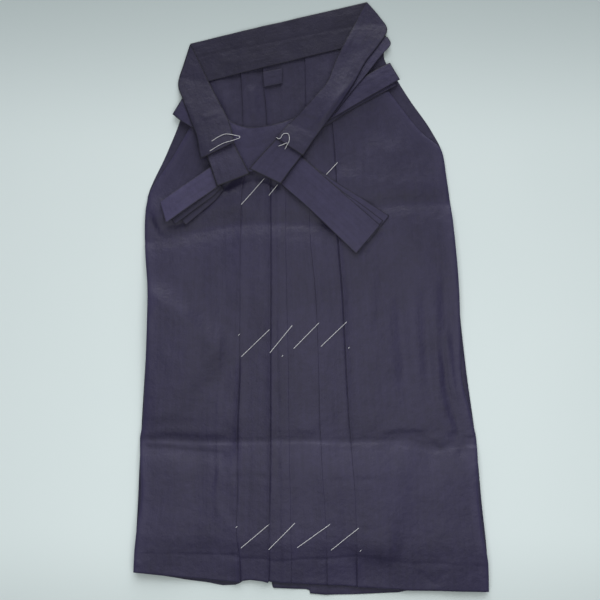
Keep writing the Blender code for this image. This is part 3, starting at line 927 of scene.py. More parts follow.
def edge_spaced(length, rounding):
    """Places from 0 to length, close together in the roundings at both ends and even between them."""
    near = EDGE_SHARES * rounding
    count = max(2, int(round((length - 2 * near[-1]) / STRIP_STEP)) + 1)
    middle = np.linspace(near[-1], length - near[-1], count)[1:-1]
    return np.concatenate([near, middle, length - near[::-1]])


def strip_plan(ribs, rounding):
    """The plan of a strip: a row of points from its a edge to its b edge at each place along it.

    Also gives the places along it, the shares of the way across it, and its width at each place.
    """
    table = np.array(ribs, float)
    knots = path_lengths((table[:, :2] + table[:, 2:]) / 2)
    widths = np.linalg.norm(table[:, 2:] - table[:, :2], axis=1)
    along = edge_spaced(knots[-1], rounding)
    across = edge_spaced(widths.mean(), rounding) / widths.mean()
    edges = through(knots, table, along)
    share = across[None, :, None]
    plan = edges[:, None, :2] * (1 - share) + edges[:, None, 2:] * share
    return plan, along, across, np.linalg.norm(edges[:, 2:] - edges[:, :2], axis=1)[:, None]


print("a strip of 10 mm has points at", edge_spaced(10.0, 0.3).round(1).tolist())

# %% [markdown]
# ## How a strip lies
# Folded cloth is stiff. A strip bridges what is hollow, comes down gently from what is high and stays
# nearly level across, but nowhere dips into what is right under it. One that simply followed its bed
# would look wet.

# %% The bed of a strip
STRIP_REACH = 12.0         # a strip rests on the highest place within this distance
STRIP_EASE = 14.0          # and its bed is smoothed over this much
STRIP_STIFF = 0.8          # how far it lies level across, instead of following its bed
STRIP_SLOPE = 0.08         # it comes down from what is high no steeper than this
CLOSE_FIT = (1.5, 2.0)     # but nowhere lower than what is right under it, at this reach and ease


def spanned(height, along, slope):
    """Heights along a strip that come down from each high place no steeper than slope.

    Each is the greatest, over all places along it, of the height there less slope times the distance.
    """
    fall = slope * np.abs(along[:, None] - along[None, :])
    return (height[None, :, :] - fall[:, :, None]).max(axis=1)


def strip_bed(x, y, along, slope):
    """The bed of a strip: the pile's, drawn up across it towards the highest place, and spanned along."""
    bed = np.maximum(pile.bed(x, y, STRIP_REACH, STRIP_EASE), pile.bed(x, y, *CLOSE_FIT))
    bed = bed * (1 - STRIP_STIFF) + bed.max(axis=1, keepdims=True) * STRIP_STIFF
    return spanned(bed, along, slope)


print("from a step of 1 mm a strip comes down over", 1 / STRIP_SLOPE, "mm")

# %% A tube with two sides
INNER = (slice(1, -1), slice(1, -1))                  # a grid without its border


def closed_tube(name, top, bottom, from_edge, finish):
    """A piece whose two sides are grids that share their border. The top faces up, the bottom down."""
    upper = np.arange(from_edge.size).reshape(from_edge.shape)
    lower = upper.copy()
    lower[INNER] = upper.size + np.arange(lower[INNER].size).reshape(lower[INNER].shape)
    points = np.concatenate([top.reshape(-1, 3), bottom[INNER].reshape(-1, 3)])
    places = cloth_place(top)
    places = np.concatenate([places, places.reshape(*upper.shape, 2)[INNER].reshape(-1, 2)])
    from_edge = np.concatenate([from_edge.ravel(), from_edge[INNER].ravel()])
    faces = np.concatenate([grid_faces(upper), grid_faces(lower)[:, ::-1]])
    down, across = top[1, 0] - top[0, 0], top[0, 1] - top[0, 0]
    if down[0] * across[1] < down[1] * across[0]:
        faces = faces[:, ::-1]
    return new_piece(name, points, faces, places, from_edge, finish)


print("the inside of a 3 by 4 grid is", np.zeros((3, 4))[INNER].shape)

# %% A strip laid on the pile
STRIP_AIR = 0.3            # air left under a strip
ROUNDING = 0.15            # how far in from its edges a strip is rounded, in thicknesses
PUFF = 0.2                 # how much the middle of a strip stands prouder than its pressed edges
PUFF_SHAPE = 0.6           # the power that squares up its bulge
LIVELY = 1.7               # a strip's swells are this many times shorter than a skirt's


def lay_strip(name, ribs, thickness, finish, creases=(), stand=((0, 0), (0, 0)), slope=STRIP_SLOPE):
    """A closed flattened tube carried along the ribs, resting on the pile, which it then joins.

    Across it the height is the bed, plus half a thickness up and down, which falls to nothing at the
    edges as a quarter circle does. stand lifts the a and b ends of its first rib, then of its last.
    """
    rounding = thickness * ROUNDING
    plan, along, across, width = strip_plan(ribs, rounding)
    x, y = plan[..., 0], plan[..., 1]
    length = along[-1]
    from_edge = np.minimum(np.minimum(across, 1 - across) * width,
                           np.minimum(along, length - along)[:, None])
    half = thickness / 2 * np.sqrt(1 - np.clip(1 - from_edge / rounding, 0, 1) ** 2)

    (first_a, first_b), (last_a, last_b) = stand
    at_first = first_a * (1 - across) + first_b * across
    at_last = last_a * (1 - across) + last_b * across
    onward = smooth_step(along / length)[:, None]
    lift = at_first * (1 - onward) + at_last * onward
    rest = strip_bed(x, y, along, slope) + STRIP_AIR + thickness / 2 + lift
    rest = rest + np.maximum(relief(x, y, creases), -STRIP_AIR) + PUFF * unevenness(x * LIVELY, y * LIVELY)
    plump = PUFF * np.sin(np.pi * across)[None, :] ** PUFF_SHAPE
    top = np.dstack([x, y, rest + half + plump * (half > 0)])
    bottom = np.dstack([x, y, rest - half])

    piece = closed_tube(name + "_cloth", top, bottom, from_edge, finish)
    pile.add(top)
    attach(piece, "root")
    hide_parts(name)
    width.mean() * MM
    length * MM
    print(f"{name}: {width.mean():.0f} by {length:.0f} mm, top at {top[..., 2].max():.1f} mm")
    return piece


print("a tie 1.9 mm thick rounds off over", 1.9 * ROUNDING, "mm")

# %% [markdown]
# ## The back waistband
# It is folded double and stitched a third of the way down, where the seam pulls in a shallow groove. The
# groove is a crease of the shape itself and not bump, because the low light has to catch both its flanks.
# The small patch that hangs below the band covers the end of a seam.

# %% Back waistband and patch
BACK_WAISTBAND = (
    Rib(-242, 509, -266, 418),
    Rib(110, 592, 150, 521),
)
BAND_SEAM = ((-224, 482), (79, 543))
BAND_CREASES = (
    Crease(BAND_SEAM, -0.6, 2.5, 2.5, 0.0),
    Crease(((-20, 560), (60, 560), (110, 575)), 0.8, 10, 16, 0.3),
    Crease(((-200, 470), (-120, 475), (-60, 492)), 0.6, 12, 9, 0.4),
)
INNER_PATCH = (
    Rib(-97, 451, -95, 421),
    Rib(-58, 459, -58, 429),
)
lay_strip("back_waistband", BACK_WAISTBAND, 1.9, back_band_shade_face, BAND_CREASES)
lay_strip("inner_patch", INNER_PATCH, 0.9, inside_shade_face)

# %% [markdown]
# ## The front skirt
# Five pleats are pressed into it: three whose folds point to the right and two that point to the left.
# Their folds spread towards the hem, as the cloth is cut. It is made like the back skirt, and its openings
# vary more, because how far each fold stands open is what draws the pleats.

# %% The front skirt's rows, pleats and hem
FrontRow = namedtuple("FrontRow", "left_x left_y mid_x mid_y right_x right_y fold1 fold2 fold3 fold4 fold5")
FRONT_ROWS = (
    FrontRow(-228, 368, -113, 318, 138, 434, -130, -85, -55, -16, 39),     # under the waistband
    FrontRow(-276, 283, -111, 265, 217, 333, -134, -84, -53, -11, 47),     # side slits
    FrontRow(-326, 201, -99, 213, 260, 293, -139, -83, -51, -7, 50),       # end of the slits
    FrontRow(-331, 165, -92, 167, 269.5, 235, -141, -83, -51, -5, 51),
    FrontRow(-332, 127, -83, 121, 281, 153, -142, -82, -51, -3, 53),
    FrontRow(-324.5, -3, -63, -3, 294, -3, -142, -82, -49, 9, 63),
    FrontRow(-329.5, -143, -53, -143, 297.5, -143, -144, -83, -46, 14, 70),
    FrontRow(-335.5, -247, -47, -251, 321, -247, -148, -83, -45, 17, 76),
    FrontRow(-341.5, -281, -43, -287, 328.5, -283, -149, -83, -44, 19, 79),    # storage fold
    FrontRow(-340.5, -315, -43, -323, 330, -317, -148, -83, -44, 20, 81),
    FrontRow(-338, -383, -43, -389, 331, -383, -148, -84, -42, 24, 86),
    FrontRow(-347.5, -463, -41, -471, 339.5, -465, -149, -85, -41, 29, 89),
    FrontRow(-352, -507, -41, -519, 351, -531, -144, -85, -40, 31, 91),    # hem stitching
    FrontRow(-354, -545, -41, -573, 353, -584, -143, -86, -40, 32, 92),    # hem edge
)
FRONT_PLEATS = (
    Pleat("fold1", 46.0, 1, 34.0),
    Pleat("fold2", 22.0, 1, 22.0),
    Pleat("fold3", 12.0, 1, 9.0),
    Pleat("fold4", 14.0, -1, 26.0),
    Pleat("fold5", 46.0, -1, 36.0),
)
FrontOpening = namedtuple("FrontOpening", "y fold1 fold2 fold3 fold4 fold5")
FRONT_OPENINGS = (
    FrontOpening(297, 1.8, 2.6, 0.3, 0.0, 1.6),
    FrontOpening(165, 1.6, 2.8, 0.4, 0.3, 2.4),
    FrontOpening(60, 0.6, 2.8, 0.1, 0.8, 2.9),
    FrontOpening(0, 0.3, 2.4, 0.0, 1.6, 3.0),
    FrontOpening(-60, 0.4, 2.6, 0.0, 0.8, 2.7),
    FrontOpening(-110, 1.6, 2.9, 0.0, 0.6, 2.5),
    FrontOpening(-140, 3.0, 3.2, 0.0, 0.5, 2.5),
    FrontOpening(-200, 5.0, 3.6, 0.0, 1.0, 2.2),
    FrontOpening(-270, 5.0, 3.2, 0.0, 1.4, 1.8),
    FrontOpening(-330, 1.2, 2.6, 0.0, 0.5, 0.8),
    FrontOpening(-370, 1.8, 2.9, 0.0, 0.0, 0.3),
    FrontOpening(-400, 1.4, 2.4, 0.0, 0.0, 0.0),
    FrontOpening(-480, 0.5, 1.8, 0.1, 0.0, 0.1),
    FrontOpening(-515, 0.9, 2.2, 0.6, 0.9, 1.2),
    FrontOpening(-530, 3.0, 2.8, 0.8, 1.8, 3.0),
    FrontOpening(-573, 3.2, 2.8, 0.8, 1.8, 3.0),
)
FRONT_MARKS = (
    (318, 6.0), (165, 3.5), (110, 5.5), (-255, 2.4), (-310, 5.0), (-505, 2.0), (-530, 4.0), (-573, 4.0),
)
FRONT_HEM = (
    (-355, -544), (-337, -546), (-283, -552.5), (-223, -558.5), (-144, -566), (-143, -564), (-132, -562),
    (-123, -560.5), (-99, -563), (-87, -566), (-85, -564), (-63, -567), (17, -571), (57, -572), (97, -576),
    (177, -580), (191, -582), (257, -582.5), (317, -583.5), (354, -584),
)
FRONT_SPACING = 5.5
FRONT_SLACK = 0.5
FRONT_AIR = 0.4            # air left between the front and what it lies on
print(len(FRONT_ROWS), "rows and", len(FRONT_PLEATS), "pleats")

# %% [markdown]
# ## Creases of the front
# No two of them are alike, and their places are what makes this garment itself, so they are a list and no
# loop strews them. The long ones come from how it was folded, the deep ones from what lies on it, and the
# rest from the hands that laid it out.

# %% Beside the two storage folds
LOWER_FOLD_CREASES = (    # a second small dip beside the fold, and uneven places along it
    Crease(((-350, -296), (-283, -300), (-223, -306), (-155, -312)), -2.6, 7, 18, 0.15),
    Crease(((-352, -287), (-283, -288), (-223, -291), (-150, -294)), 0.8, 4, 3, 0.15),
    Crease(((-350, -268), (-280, -264), (-210, -268), (-160, -270)), 1.8, 14, 9, 0.15),
    Crease(((-350, -228), (-280, -226), (-200, -228), (-130, -234)), 6.0, 110, 36, 0.2),
    Crease(((-40, -258), (0, -262), (16, -260)), 1.1, 10, 8, 0.3),
    Crease(((-60, -240), (-20, -246), (60, -240)), 0.9, 12, 9, 0.4),
    Crease(((130, -262), (170, -258), (205, -257), (245, -259)), 2.2, 22, 9, 0.3),
    Crease(((130, -294), (190, -292), (225, -300), (245, -312)), -1.0, 4, 6, 0.3),
    # pressed lines below it, where the cloth was folded once more
    Crease(((-197, -352), (-150, -353), (-60, -356)), -0.7, 5, 5, 0.25),
    Crease(((20, -357), (70, -361), (150, -359)), -0.9, 5, 5, 0.3),
    Crease(((10, -352), (60, -352), (150, -354), (215, -356)), 3.5, 38, 120, 0.25),
    Crease(((-192, -352), (-170, -352), (-150, -353)), 2.2, 26, 20, 0.2),
    Crease(((-190, -350), (-186, -400), (-180, -440)), 0.7, 5, 6, 0.3),
    Crease(((-190, -410), (-172, -440), (-150, -470)), 0.9, 10, 8, 0.3),
)
UPPER_FOLD_CREASES = (
    # swells above the fold, and a line below it
    Crease(((-322, 160), (-250, 178), (-170, 190), (-110, 200)), 5.0, 40, 20, 0.25),
    Crease(((-335, 168), (-312, 164), (-285, 166)), 4.5, 27, 16, 0.25),
    Crease(((-330, 118), (-250, 128), (-190, 136)), 0.9, 14, 10, 0.4),
    Crease(((-75, 123), (-20, 124), (40, 122)), -0.5, 4, 6, 0.3),
    Crease(((60, 194), (110, 207), (160, 211), (230, 211), (290, 208)), 1.6, 44, 18, 0.25),
    Crease(((40, 238), (90, 226), (150, 212), (215, 204), (280, 200)), 6.0, 42, 140, 0.45),
    Crease(((185, 164), (240, 168), (300, 170)), -2.4, 17, 40, 0.3),
    # a soft fold that runs down from the left side
    Crease(((-352, 26), (-304, -7), (-254, -42), (-224, -70), (-204, -88), (-150, -132)),
           12.0, 28, 140, 0.25),
    Crease(((-292, -94), (-274, -103), (-250, -107)), -1.0, 6, 9, 0.4),
)
print(len(LOWER_FOLD_CREASES), "beside the lower fold,", len(UPPER_FOLD_CREASES), "beside the upper one")

# %% Under the bundle, and down the right side
BUNDLE_CREASES = (
    # valleys that the weight of the wraps and tails presses along their lower edges
    Crease(((-92, 238), (-125, 241), (-152, 235), (-182, 216)), -4.5, 10, 9, 0.15),
    Crease(((-128, 251), (-95, 237), (-62, 218)), -4.0, 6, 6, 0.15),
    Crease(((-190, 214), (-225, 176), (-262, 150), (-300, 146)), -4.0, 8, 12, 0.3),
    Crease(((94, 82), (118, 111), (142, 141)), -3.5, 7, 7, 0.2),
    # and swells beside them
    Crease(((34, 234), (66, 238), (100, 230)), 2.8, 18, 24, 0.4),
    Crease(((0, 172), (28, 146), (60, 116)), 2.5, 10, 14, 0.3),
    Crease(((90, 290), (130, 288), (190, 280)), 2.0, 24, 40, 0.4),
)
RIGHT_SIDE_CREASES = (
    # a drape that runs down and out to the edge, and what gathers where it ends
    Crease(((249, -63), (259, -103), (265, -143), (267, -173), (275, -203), (283, -233), (298, -287)),
           -3.4, 9, 5, 0.4),
    Crease(((267, -173), (275, -203), (283, -233), (291, -259), (298, -287)), -3.2, 10, 6, 0.35),
    Crease(((290, -266), (299, -286)), -2.5, 7, 5, 0.3),
    Crease(((276, -262), (292, -285), (308, -320)), -2.6, 8, 7, 0.25),
    Crease(((276, 10), (280, -60), (286, -130), (292, -190)), -2.4, 8, 8, 0.3),
    Crease(((244, -20), (250, -130), (253, -200), (268, -252)), 1.4, 6, 8, 0.4),
    Crease(((266, -40), (272, -110), (281, -163), (295, -230)), 1.4, 7, 6, 0.4),
    Crease(((281, -130), (292, -190), (306, -250)), -1.6, 7, 6, 0.4),
    Crease(((236, -272), (252, -280), (264, -298)), 1.4, 7, 6, 0.3),
    Crease(((232, -286), (250, -296), (262, -306)), -1.0, 5, 4, 0.3),
    Crease(((257, -296), (277, -290), (293, -306), (303, -345)), -1.2, 5, 6, 0.3),
    Crease(((292, -280), (312, -279), (330, -276)), -1.0, 4, 4, 0.3),
    Crease(((205, -230), (225, -255), (232, -275)), -0.8, 6, 6, 0.4),
    # shallow grooves between the pleats and the drape
    Crease(((172, 40), (178, -60), (186, -160), (196, -230)), -3.4, 15, 15, 0.35),
    Crease(((222, 60), (226, -60), (232, -150), (238, -210)), -3.2, 13, 13, 0.35),
    Crease(((262, 60), (264, -30), (268, -90)), -3.4, 10, 12, 0.35),
)
print(len(BUNDLE_CREASES), "under the bundle and", len(RIGHT_SIDE_CREASES), "down the right side")

# %% At the pleats, the waist and the hem
PLEAT_CREASES = (
    # inner folds of the outermost pleats, pressed through
    Crease(((-182, 60), (-183, -160), (-190, -480)), 0.7, 4, 5, 0.2),
    Crease(((140, 70), (130, -40), (120, -120)), -0.5, 5, 8, 0.3),
)
WAIST_CREASES = (
    # wrinkles at the ends of the two slits
    Crease(((-327, 190), (-318, 152), (-306, 128), (-290, 122)), -3.2, 5, 4, 0.3),
    Crease(((-318, 178), (-308, 150), (-300, 128)), 1.2, 5, 5, 0.3),
    Crease(((262, 288), (254, 250), (256, 200)), 0.9, 6, 8, 0.3),
    # pulls under the right front tie, and a few handling marks beside them
    Crease(((70, 370), (110, 392), (150, 416)), 2.2, 16, 12, 0.3),
    Crease(((150, 385), (110, 330), (90, 270)), -0.9, 16, 20, 0.4),
    Crease(((102, 340), (101, 270), (104, 200)), -0.6, 4, 8, 0.3),
    Crease(((110, 300), (170, 296), (230, 300)), 1.3, 22, 16, 0.4),
    Crease(((205, 330), (170, 270), (160, 210)), 1.0, 18, 22, 0.4),
)
HEM_CREASES = (
    # a swell above the hem, and two puckers that meet at it
    Crease(((60, -498), (110, -500), (185, -506)), 4.5, 64, 22, 0.3),
    Crease(((211, -541), (228, -556), (245, -574)), -1.4, 5, 4, 0.2),
    Crease(((271, -541), (258, -556), (246, -574)), -1.2, 4, 6, 0.2),
)
FRONT_CREASES = (WAIST_CREASES + BUNDLE_CREASES + UPPER_FOLD_CREASES + PLEAT_CREASES + RIGHT_SIDE_CREASES
                 + LOWER_FOLD_CREASES + HEM_CREASES)
print(len(FRONT_CREASES), "creases are placed by hand on the front")

# %% [markdown]
# ## The hem
# The hem is turned up inside and stitched, so the cloth steps down at the seam and puckers along it. It is
# a line with levels, like a storage fold, but it steps down more in some places than in others. The
# puckers are a wave whose own length wanders, because an even one would look like a zip.

# %% The front skirt's hem
SEAM = (
    (-353, -505), (-223, -508), (-147, -509), (-143, -516), (-88, -517), (-84, -521), (-43, -521),
    (-23, -517), (31, -517), (87, -512), (97, -512), (125, -516), (167, -523), (197, -527), (257, -525),
    (287, -529), (353, -531),
)
HEM_LEVELS = (
    Level(-70, 0.0), Level(-38, -0.6), Level(-10, -3.6), Level(-3, -4.5), Level(1, -5.4), Level(5, -5.6),
    Level(10, -5.9), Level(55, -8.6), Level(90, -8.6),
)
PUCKER_HEIGHT = 0.25
PUCKER_BELOW = 3.0         # they are highest this far below the seam
PUCKER_REACH = 7.0
SIDE_SEAM = 7.0            # how far in from the side its ridge is
SIDE_SEAM_REACH = 3.5
HEM_STRENGTH = (           # X, and how much of the levels counts there
    (-355, 0.5), (-290, 0.7), (-220, 1.05), (-140, 1.15), (0, 1.25), (110, 1.3), (170, 0.9), (300, 0.75),
)


def wandering(place, wave, swing, drift):
    """The sine of place over wave, whose phase is swing times the sine of place over drift."""
    return np.sin(place / wave + swing * np.sin(place / drift))


def hem_height(x, y):
    """The levels of the seam times their strength, and puckers under a bell just below it.

    The puckers are a wandering wave along X, which swells and fades with another.
    """
    beat = wandering(x, 2.9, 1.7, 31) * (0.6 + 0.4 * np.sin(x / 23 + 1))
    seam_x, seam_y = np.array(SEAM, float).T
    below = np.interp(x, seam_x, seam_y) - y
    bell = np.exp(-((below - PUCKER_BELOW) / PUCKER_REACH) ** 2)
    strength = np.interp(x, *np.array(HEM_STRENGTH).T)
    return strength * fold_height(x, y, SEAM, HEM_LEVELS) + PUCKER_HEIGHT * beat * bell


def side_seam_height(y, from_side):
    """A ridge along the sewn sides: a bell across it, whose height is uneven along Y."""
    bell = np.exp(-((from_side - SIDE_SEAM) / SIDE_SEAM_REACH) ** 2)
    return bell * (0.7 + 0.35 * wandering(y, 3.7, 2, 41))


print("the seam runs", round(path_lengths(np.array(SEAM))[-1]), "mm across")

# %% The front skirt, laid on the back one
SKIRT_REACH = 21.0         # a skirt is laid like a strip, but it is softer over what is below
SKIRT_EASE = 24.0
SIDE_MARGIN = 55.0         # its sides lie as high as what is this far in

x, y, height, from_side = skirt_plan(
    FRONT_ROWS, FRONT_PLEATS, FRONT_OPENINGS, FRONT_MARKS, FRONT_SPACING, FRONT_HEM)
inward = np.clip(SIDE_MARGIN - from_side, 0, None)
bed_x = x + inward * np.where(x < x.mean(axis=1, keepdims=True), 1, -1)
bed = pile.bed(bed_x, y, SKIRT_REACH, SKIRT_EASE) + FRONT_AIR
folds = storage_height(x, y) - side_height(bed_x, y, from_side + inward)
lying = (folds + relief(x, y, FRONT_CREASES) + FRONT_SLACK * (1 + unevenness(x, y)) + hem_height(x, y)
         + side_seam_height(y, from_side))
z = bed + CLOTH / 2 + EDGE_DROP + NIP_DEPTH + height + np.maximum(lying, 0)
front_skirt, front_area = make_skirt("front_skirt_cloth", x, y, z, from_side, outer_face)

# %% [markdown]
# ## The waistband and the front ties
# The front waistband runs on into two ties, which fold back over it. A tie could be one long strip, folded
# by a path that turns over, but at each fold it would cut into itself. So every stretch that shows is a
# strip of its own, and each ends under the one that hides its end. They are laid in the order in which a
# packer folds them, and each rests on all that came before.

# %% Front waistband and front ties
FRONT_WAISTBAND = (
    Rib(-248, 387, -261, 361),
    Rib(-216, 375, -230, 335),
    Rib(-178, 363, -190, 309),
    Rib(-150, 347, -162, 281),
    Rib(-122, 340, -122, 251),
    Rib(-91, 343, -83, 268),
    Rib(-51, 353, -39, 303),
    Rib(-3, 373, 13, 333),
    Rib(56, 404, 72, 370),
    Rib(116, 440, 136, 406),
    Rib(153, 460, 172, 425),
)
FRONT_TIE_LEFT = (
    Rib(-258, 398, -277, 367),
    Rib(-223, 374, -261, 354),
    Rib(-198, 364, -230, 335),
    Rib(-174, 355, -194, 313),
)
FRONT_TIE_RIGHT = (
    Rib(156, 470, 176, 436),
    Rib(127, 455, 147, 419),
    Rib(97, 436, 114, 400),
    Rib(57, 411, 72, 375),
    Rib(17, 386, 33, 352),
    Rib(-15, 368, 1, 333),
)
WAISTBAND_CREASES = (
    Crease(((-147, 332), (-128, 340)), 0.8, 3, 3, 0.3),
)
lay_strip("front_waistband", FRONT_WAISTBAND, 1.7, tie_light_face, WAISTBAND_CREASES)
lay_strip("front_tie_left", FRONT_TIE_LEFT, 1.7, tie_light_face)
lay_strip("front_tie_right", FRONT_TIE_RIGHT, 1.8, tie_light_face, stand=((0, 2), (0, 3)))

# %% [markdown]
# ## The tails
# The ends of the ties hang out of the bundle as two tails of three plies each. The plies are fanned a
# little, so that all three edges show. A tail's far corner curls up, which stand does: it lifts the four
# corners of a strip by so many millimetres.

# %% The tails
TAIL_LEFT_TOP = (
    Rib(-178, 278, -160, 243),
    Rib(-205, 258, -187, 221),
    Rib(-253, 225, -238, 185),
    Rib(-301, 192, -288, 149),
)
TAIL_LEFT_MIDDLE = (
    Rib(-192, 251, -178, 220),
    Rib(-212, 239, -194, 204),
    Rib(-251, 210, -232, 176),
    Rib(-291, 181, -271, 146),
)
TAIL_LEFT_BOTTOM = (
    Rib(-190, 250, -174, 216),
    Rib(-210, 236, -192, 194),
    Rib(-242, 210, -216, 174),
    Rib(-279, 182, -250, 145),
)
TAIL_RIGHT_TOP = (
    Rib(-39, 300, -82, 247),
    Rib(-17, 280, -61, 227),
    Rib(32, 236, -11, 183),
    Rib(84, 190, 38, 136),
    Rib(136, 145, 88, 88),
)
TAIL_RIGHT_MIDDLE = (
    Rib(-3, 269, -33, 235),
    Rib(56, 217, 13, 170),
    Rib(100, 186, 56, 136),
    Rib(142, 154, 100, 104),
)
TAIL_RIGHT_BOTTOM = (
    Rib(1, 265, -29, 231),
    Rib(50, 231, 9, 182),
    Rib(102, 198, 60, 144),
    Rib(154, 164, 112, 110),
)
# the two plies under the left tail take a face of painted shadow, and its top ply a face of painted light
lay_strip("tail_left_bottom", TAIL_LEFT_BOTTOM, 1.2, under_tail_shadow_face, stand=((0, 0), (0, 1)))
lay_strip("tail_left_middle", TAIL_LEFT_MIDDLE, 1.2, under_tail_shadow_face, stand=((0, 0), (0, 2)))
lay_strip("tail_left_top", TAIL_LEFT_TOP, 1.6, left_tail_light_face, stand=((0, 0), (0, 5)))
lay_strip("tail_right_bottom", TAIL_RIGHT_BOTTOM, 1.2, tie_light_face)
lay_strip("tail_right_middle", TAIL_RIGHT_MIDDLE, 1.2, tie_light_face)
lay_strip("tail_right_top", TAIL_RIGHT_TOP, 1.6, tie_light_face, stand=((0, 1), (2, 2)))

# %% [markdown]
# ## The back ties
# They drop from the corners of the back waistband, cross over the front and wrap the bundle. The drops
# hang over the deepest hollow of the pile, the open waist, so they come down into it at a slope of their
# own. One slope for all strips would be simpler, but at the gentle one the drops would hang too high, and
# at theirs the short ties would dip between the plies. Long creases run down the right one, where it
# twists a little.

# %% The wraps and the two long drops
BACK_TIE_LEFT_WRAP = (
    Rib(-213, 292, -158, 320),
    Rib(-205, 274, -150, 300),
    Rib(-196, 248, -136, 274),
    Rib(-187, 221, -122, 246),
)
BACK_TIE_RIGHT_WRAP = (
    Rib(-61, 329, -9, 294),
    Rib(-70, 317, -19, 282),
    Rib(-98, 286, -41, 254),
    Rib(-124, 256, -61, 226),
)
BACK_TIE_RIGHT_UNDER = (
    Rib(131, 525, 152, 521),
    Rib(109, 497, 158, 508),
    Rib(93, 472, 139, 484),
    Rib(69, 439, 108, 444),
    Rib(49, 406, 80, 410),
    Rib(21, 370, 48, 368),
)
BACK_TIE_LEFT_DROP = (
    Rib(-243, 506, -240, 505),
    Rib(-254, 471, -222, 469),
    Rib(-266, 427, -204, 431),
    Rib(-256, 395, -186, 395),
    Rib(-237, 344, -164, 352),
    Rib(-229, 324, -158, 332),
    Rib(-220, 275, -154, 308),
)
BACK_TIE_RIGHT_DROP = (
    Rib(108, 590, 111, 591),
    Rib(97, 571, 135, 563),
    Rib(85, 546, 151, 537),
    Rib(67, 512, 133, 504),
    Rib(47, 471, 108, 471),
    Rib(31, 430, 86, 430),
    Rib(-3, 390, 58, 386),
    Rib(-27, 364, 36, 356),
    Rib(-51, 340, 7, 318),
    Rib(-70, 317, -17, 282),
)
LEFT_DROP_CREASES = (
    Crease(((-222, 354), (-200, 361), (-178, 365)), 0.9, 9, 2.5, 0.25),
    Crease(((-255, 400), (-235, 360), (-226, 330)), 0.6, 6, 6, 0.3),
)
RIGHT_DROP_CREASES = (
    Crease(((106, 482), (80, 434), (53, 390), (30, 358), (2, 322), (-25, 292)), 4.5, 10, 26, 0.5),
    Crease(((78, 432), (69, 418), (42, 381), (15, 345), (6, 333)), 2.0, 5, 7, 0.3),
    Crease(((85, 547), (67, 513), (47, 473), (31, 433), (2, 397), (-22, 371)), 2.6, 20, 10, 0.25),
    Crease(((60, 412), (37, 380), (12, 350)), 1.0, 5, 8, 0.35),
    Crease(((-25, 371), (0, 361), (22, 357)), 1.0, 9, 2.5, 0.3),
)
lay_strip("back_tie_left_wrap", BACK_TIE_LEFT_WRAP, 1.8, left_wrap_face, stand=((1, 0), (3, 4)))
lay_strip("back_tie_right_wrap", BACK_TIE_RIGHT_WRAP, 1.8, right_wrap_face, stand=((1, 0), (2, 1)))
lay_strip("back_tie_right_under", BACK_TIE_RIGHT_UNDER, 1.5, tie_light_face)
lay_strip("back_tie_left_drop", BACK_TIE_LEFT_DROP, 1.9, left_drop_face, LEFT_DROP_CREASES,
          stand=((0, 1), (0, 3)), slope=0.12)
lay_strip("back_tie_right_drop", BACK_TIE_RIGHT_DROP, 1.9, right_drop_face, RIGHT_DROP_CREASES, slope=0.16)

# %% [markdown]
# ## White thread
# Long slanting stitches hold the pleats flat, in three rows, and two loose loops tack the ties. A curve
# with a round bevel would be smooth nylon. Each is a tube along a path instead: rings of points round the
# path, set by its direction. Two plies of cotton twist round each other, so the radius has two crests that
# turn as the ring goes along.

# %% A thread
THREAD = 0.42              # radius
TWIST = 3.4                # length of one full turn of the plies
CREST = 0.16               # how far the two plies stand out, as a share of the radius
SIDES = 10
THREAD_STEP = 0.8          # from ring to ring
BLUNT_END = 0.02           # how small the last ring is


def thread_tube(path):
    """Points and faces of a closed twisted tube along a path of points in millimetres.

    A ring's points go round the path at even angles. Their radius swells with the cosine of twice the
    angle, which turns once in every TWIST, and at both ends it closes in as a square root.
    """
    path = np.array(path, float)
    chord = path_lengths(path)
    at = np.linspace(0, chord[-1], max(8, int(chord[-1] / THREAD_STEP)))
    line = through(chord, path, at)
    heading = np.gradient(line, axis=0)
    heading /= np.linalg.norm(heading, axis=1)[:, None]
    side = np.cross(heading, (0, 0, 1))
    side /= np.linalg.norm(side, axis=1)[:, None]
    up = np.cross(side, heading)
    angle = np.linspace(0, 2 * np.pi, SIDES, endpoint=False)[None, :]
    ends = np.sqrt(np.clip(np.minimum(at, chord[-1] - at) / THREAD, BLUNT_END, 1))[:, None]
    radius = THREAD * ends * (1 + CREST * np.cos(2 * (angle - 2 * np.pi * at[:, None] / TWIST)))
    rings = (line[:, None] + side[:, None] * (radius * np.cos(angle))[..., None]
             + up[:, None] * (radius * np.sin(angle))[..., None])
    index = np.arange(at.size * SIDES).reshape(at.size, SIDES)
    index = np.concatenate([index, index[:, :1]], axis=1)
    first, last = np.full(SIDES, at.size * SIDES), np.full(SIDES, at.size * SIDES + 1)
    start_cap = np.column_stack([first, index[0, :-1], index[0, 1:]])
    end_cap = np.column_stack([last, index[-1, 1:], index[-1, :-1]])
    points = np.concatenate([rings.reshape(-1, 3), line[:1], line[-1:]])
    return points, grid_faces(index), np.concatenate([start_cap, end_cap])


print("a ring of a thread has", SIDES, "points, and a turn of its plies takes", TWIST, "mm")


# %% A thread's path over the pile
PATH_STEP = 5.0            # from one place to the next where it asks how high the pile is
THREAD_SLOPE = 0.12        # it comes down from what is high no steeper than this


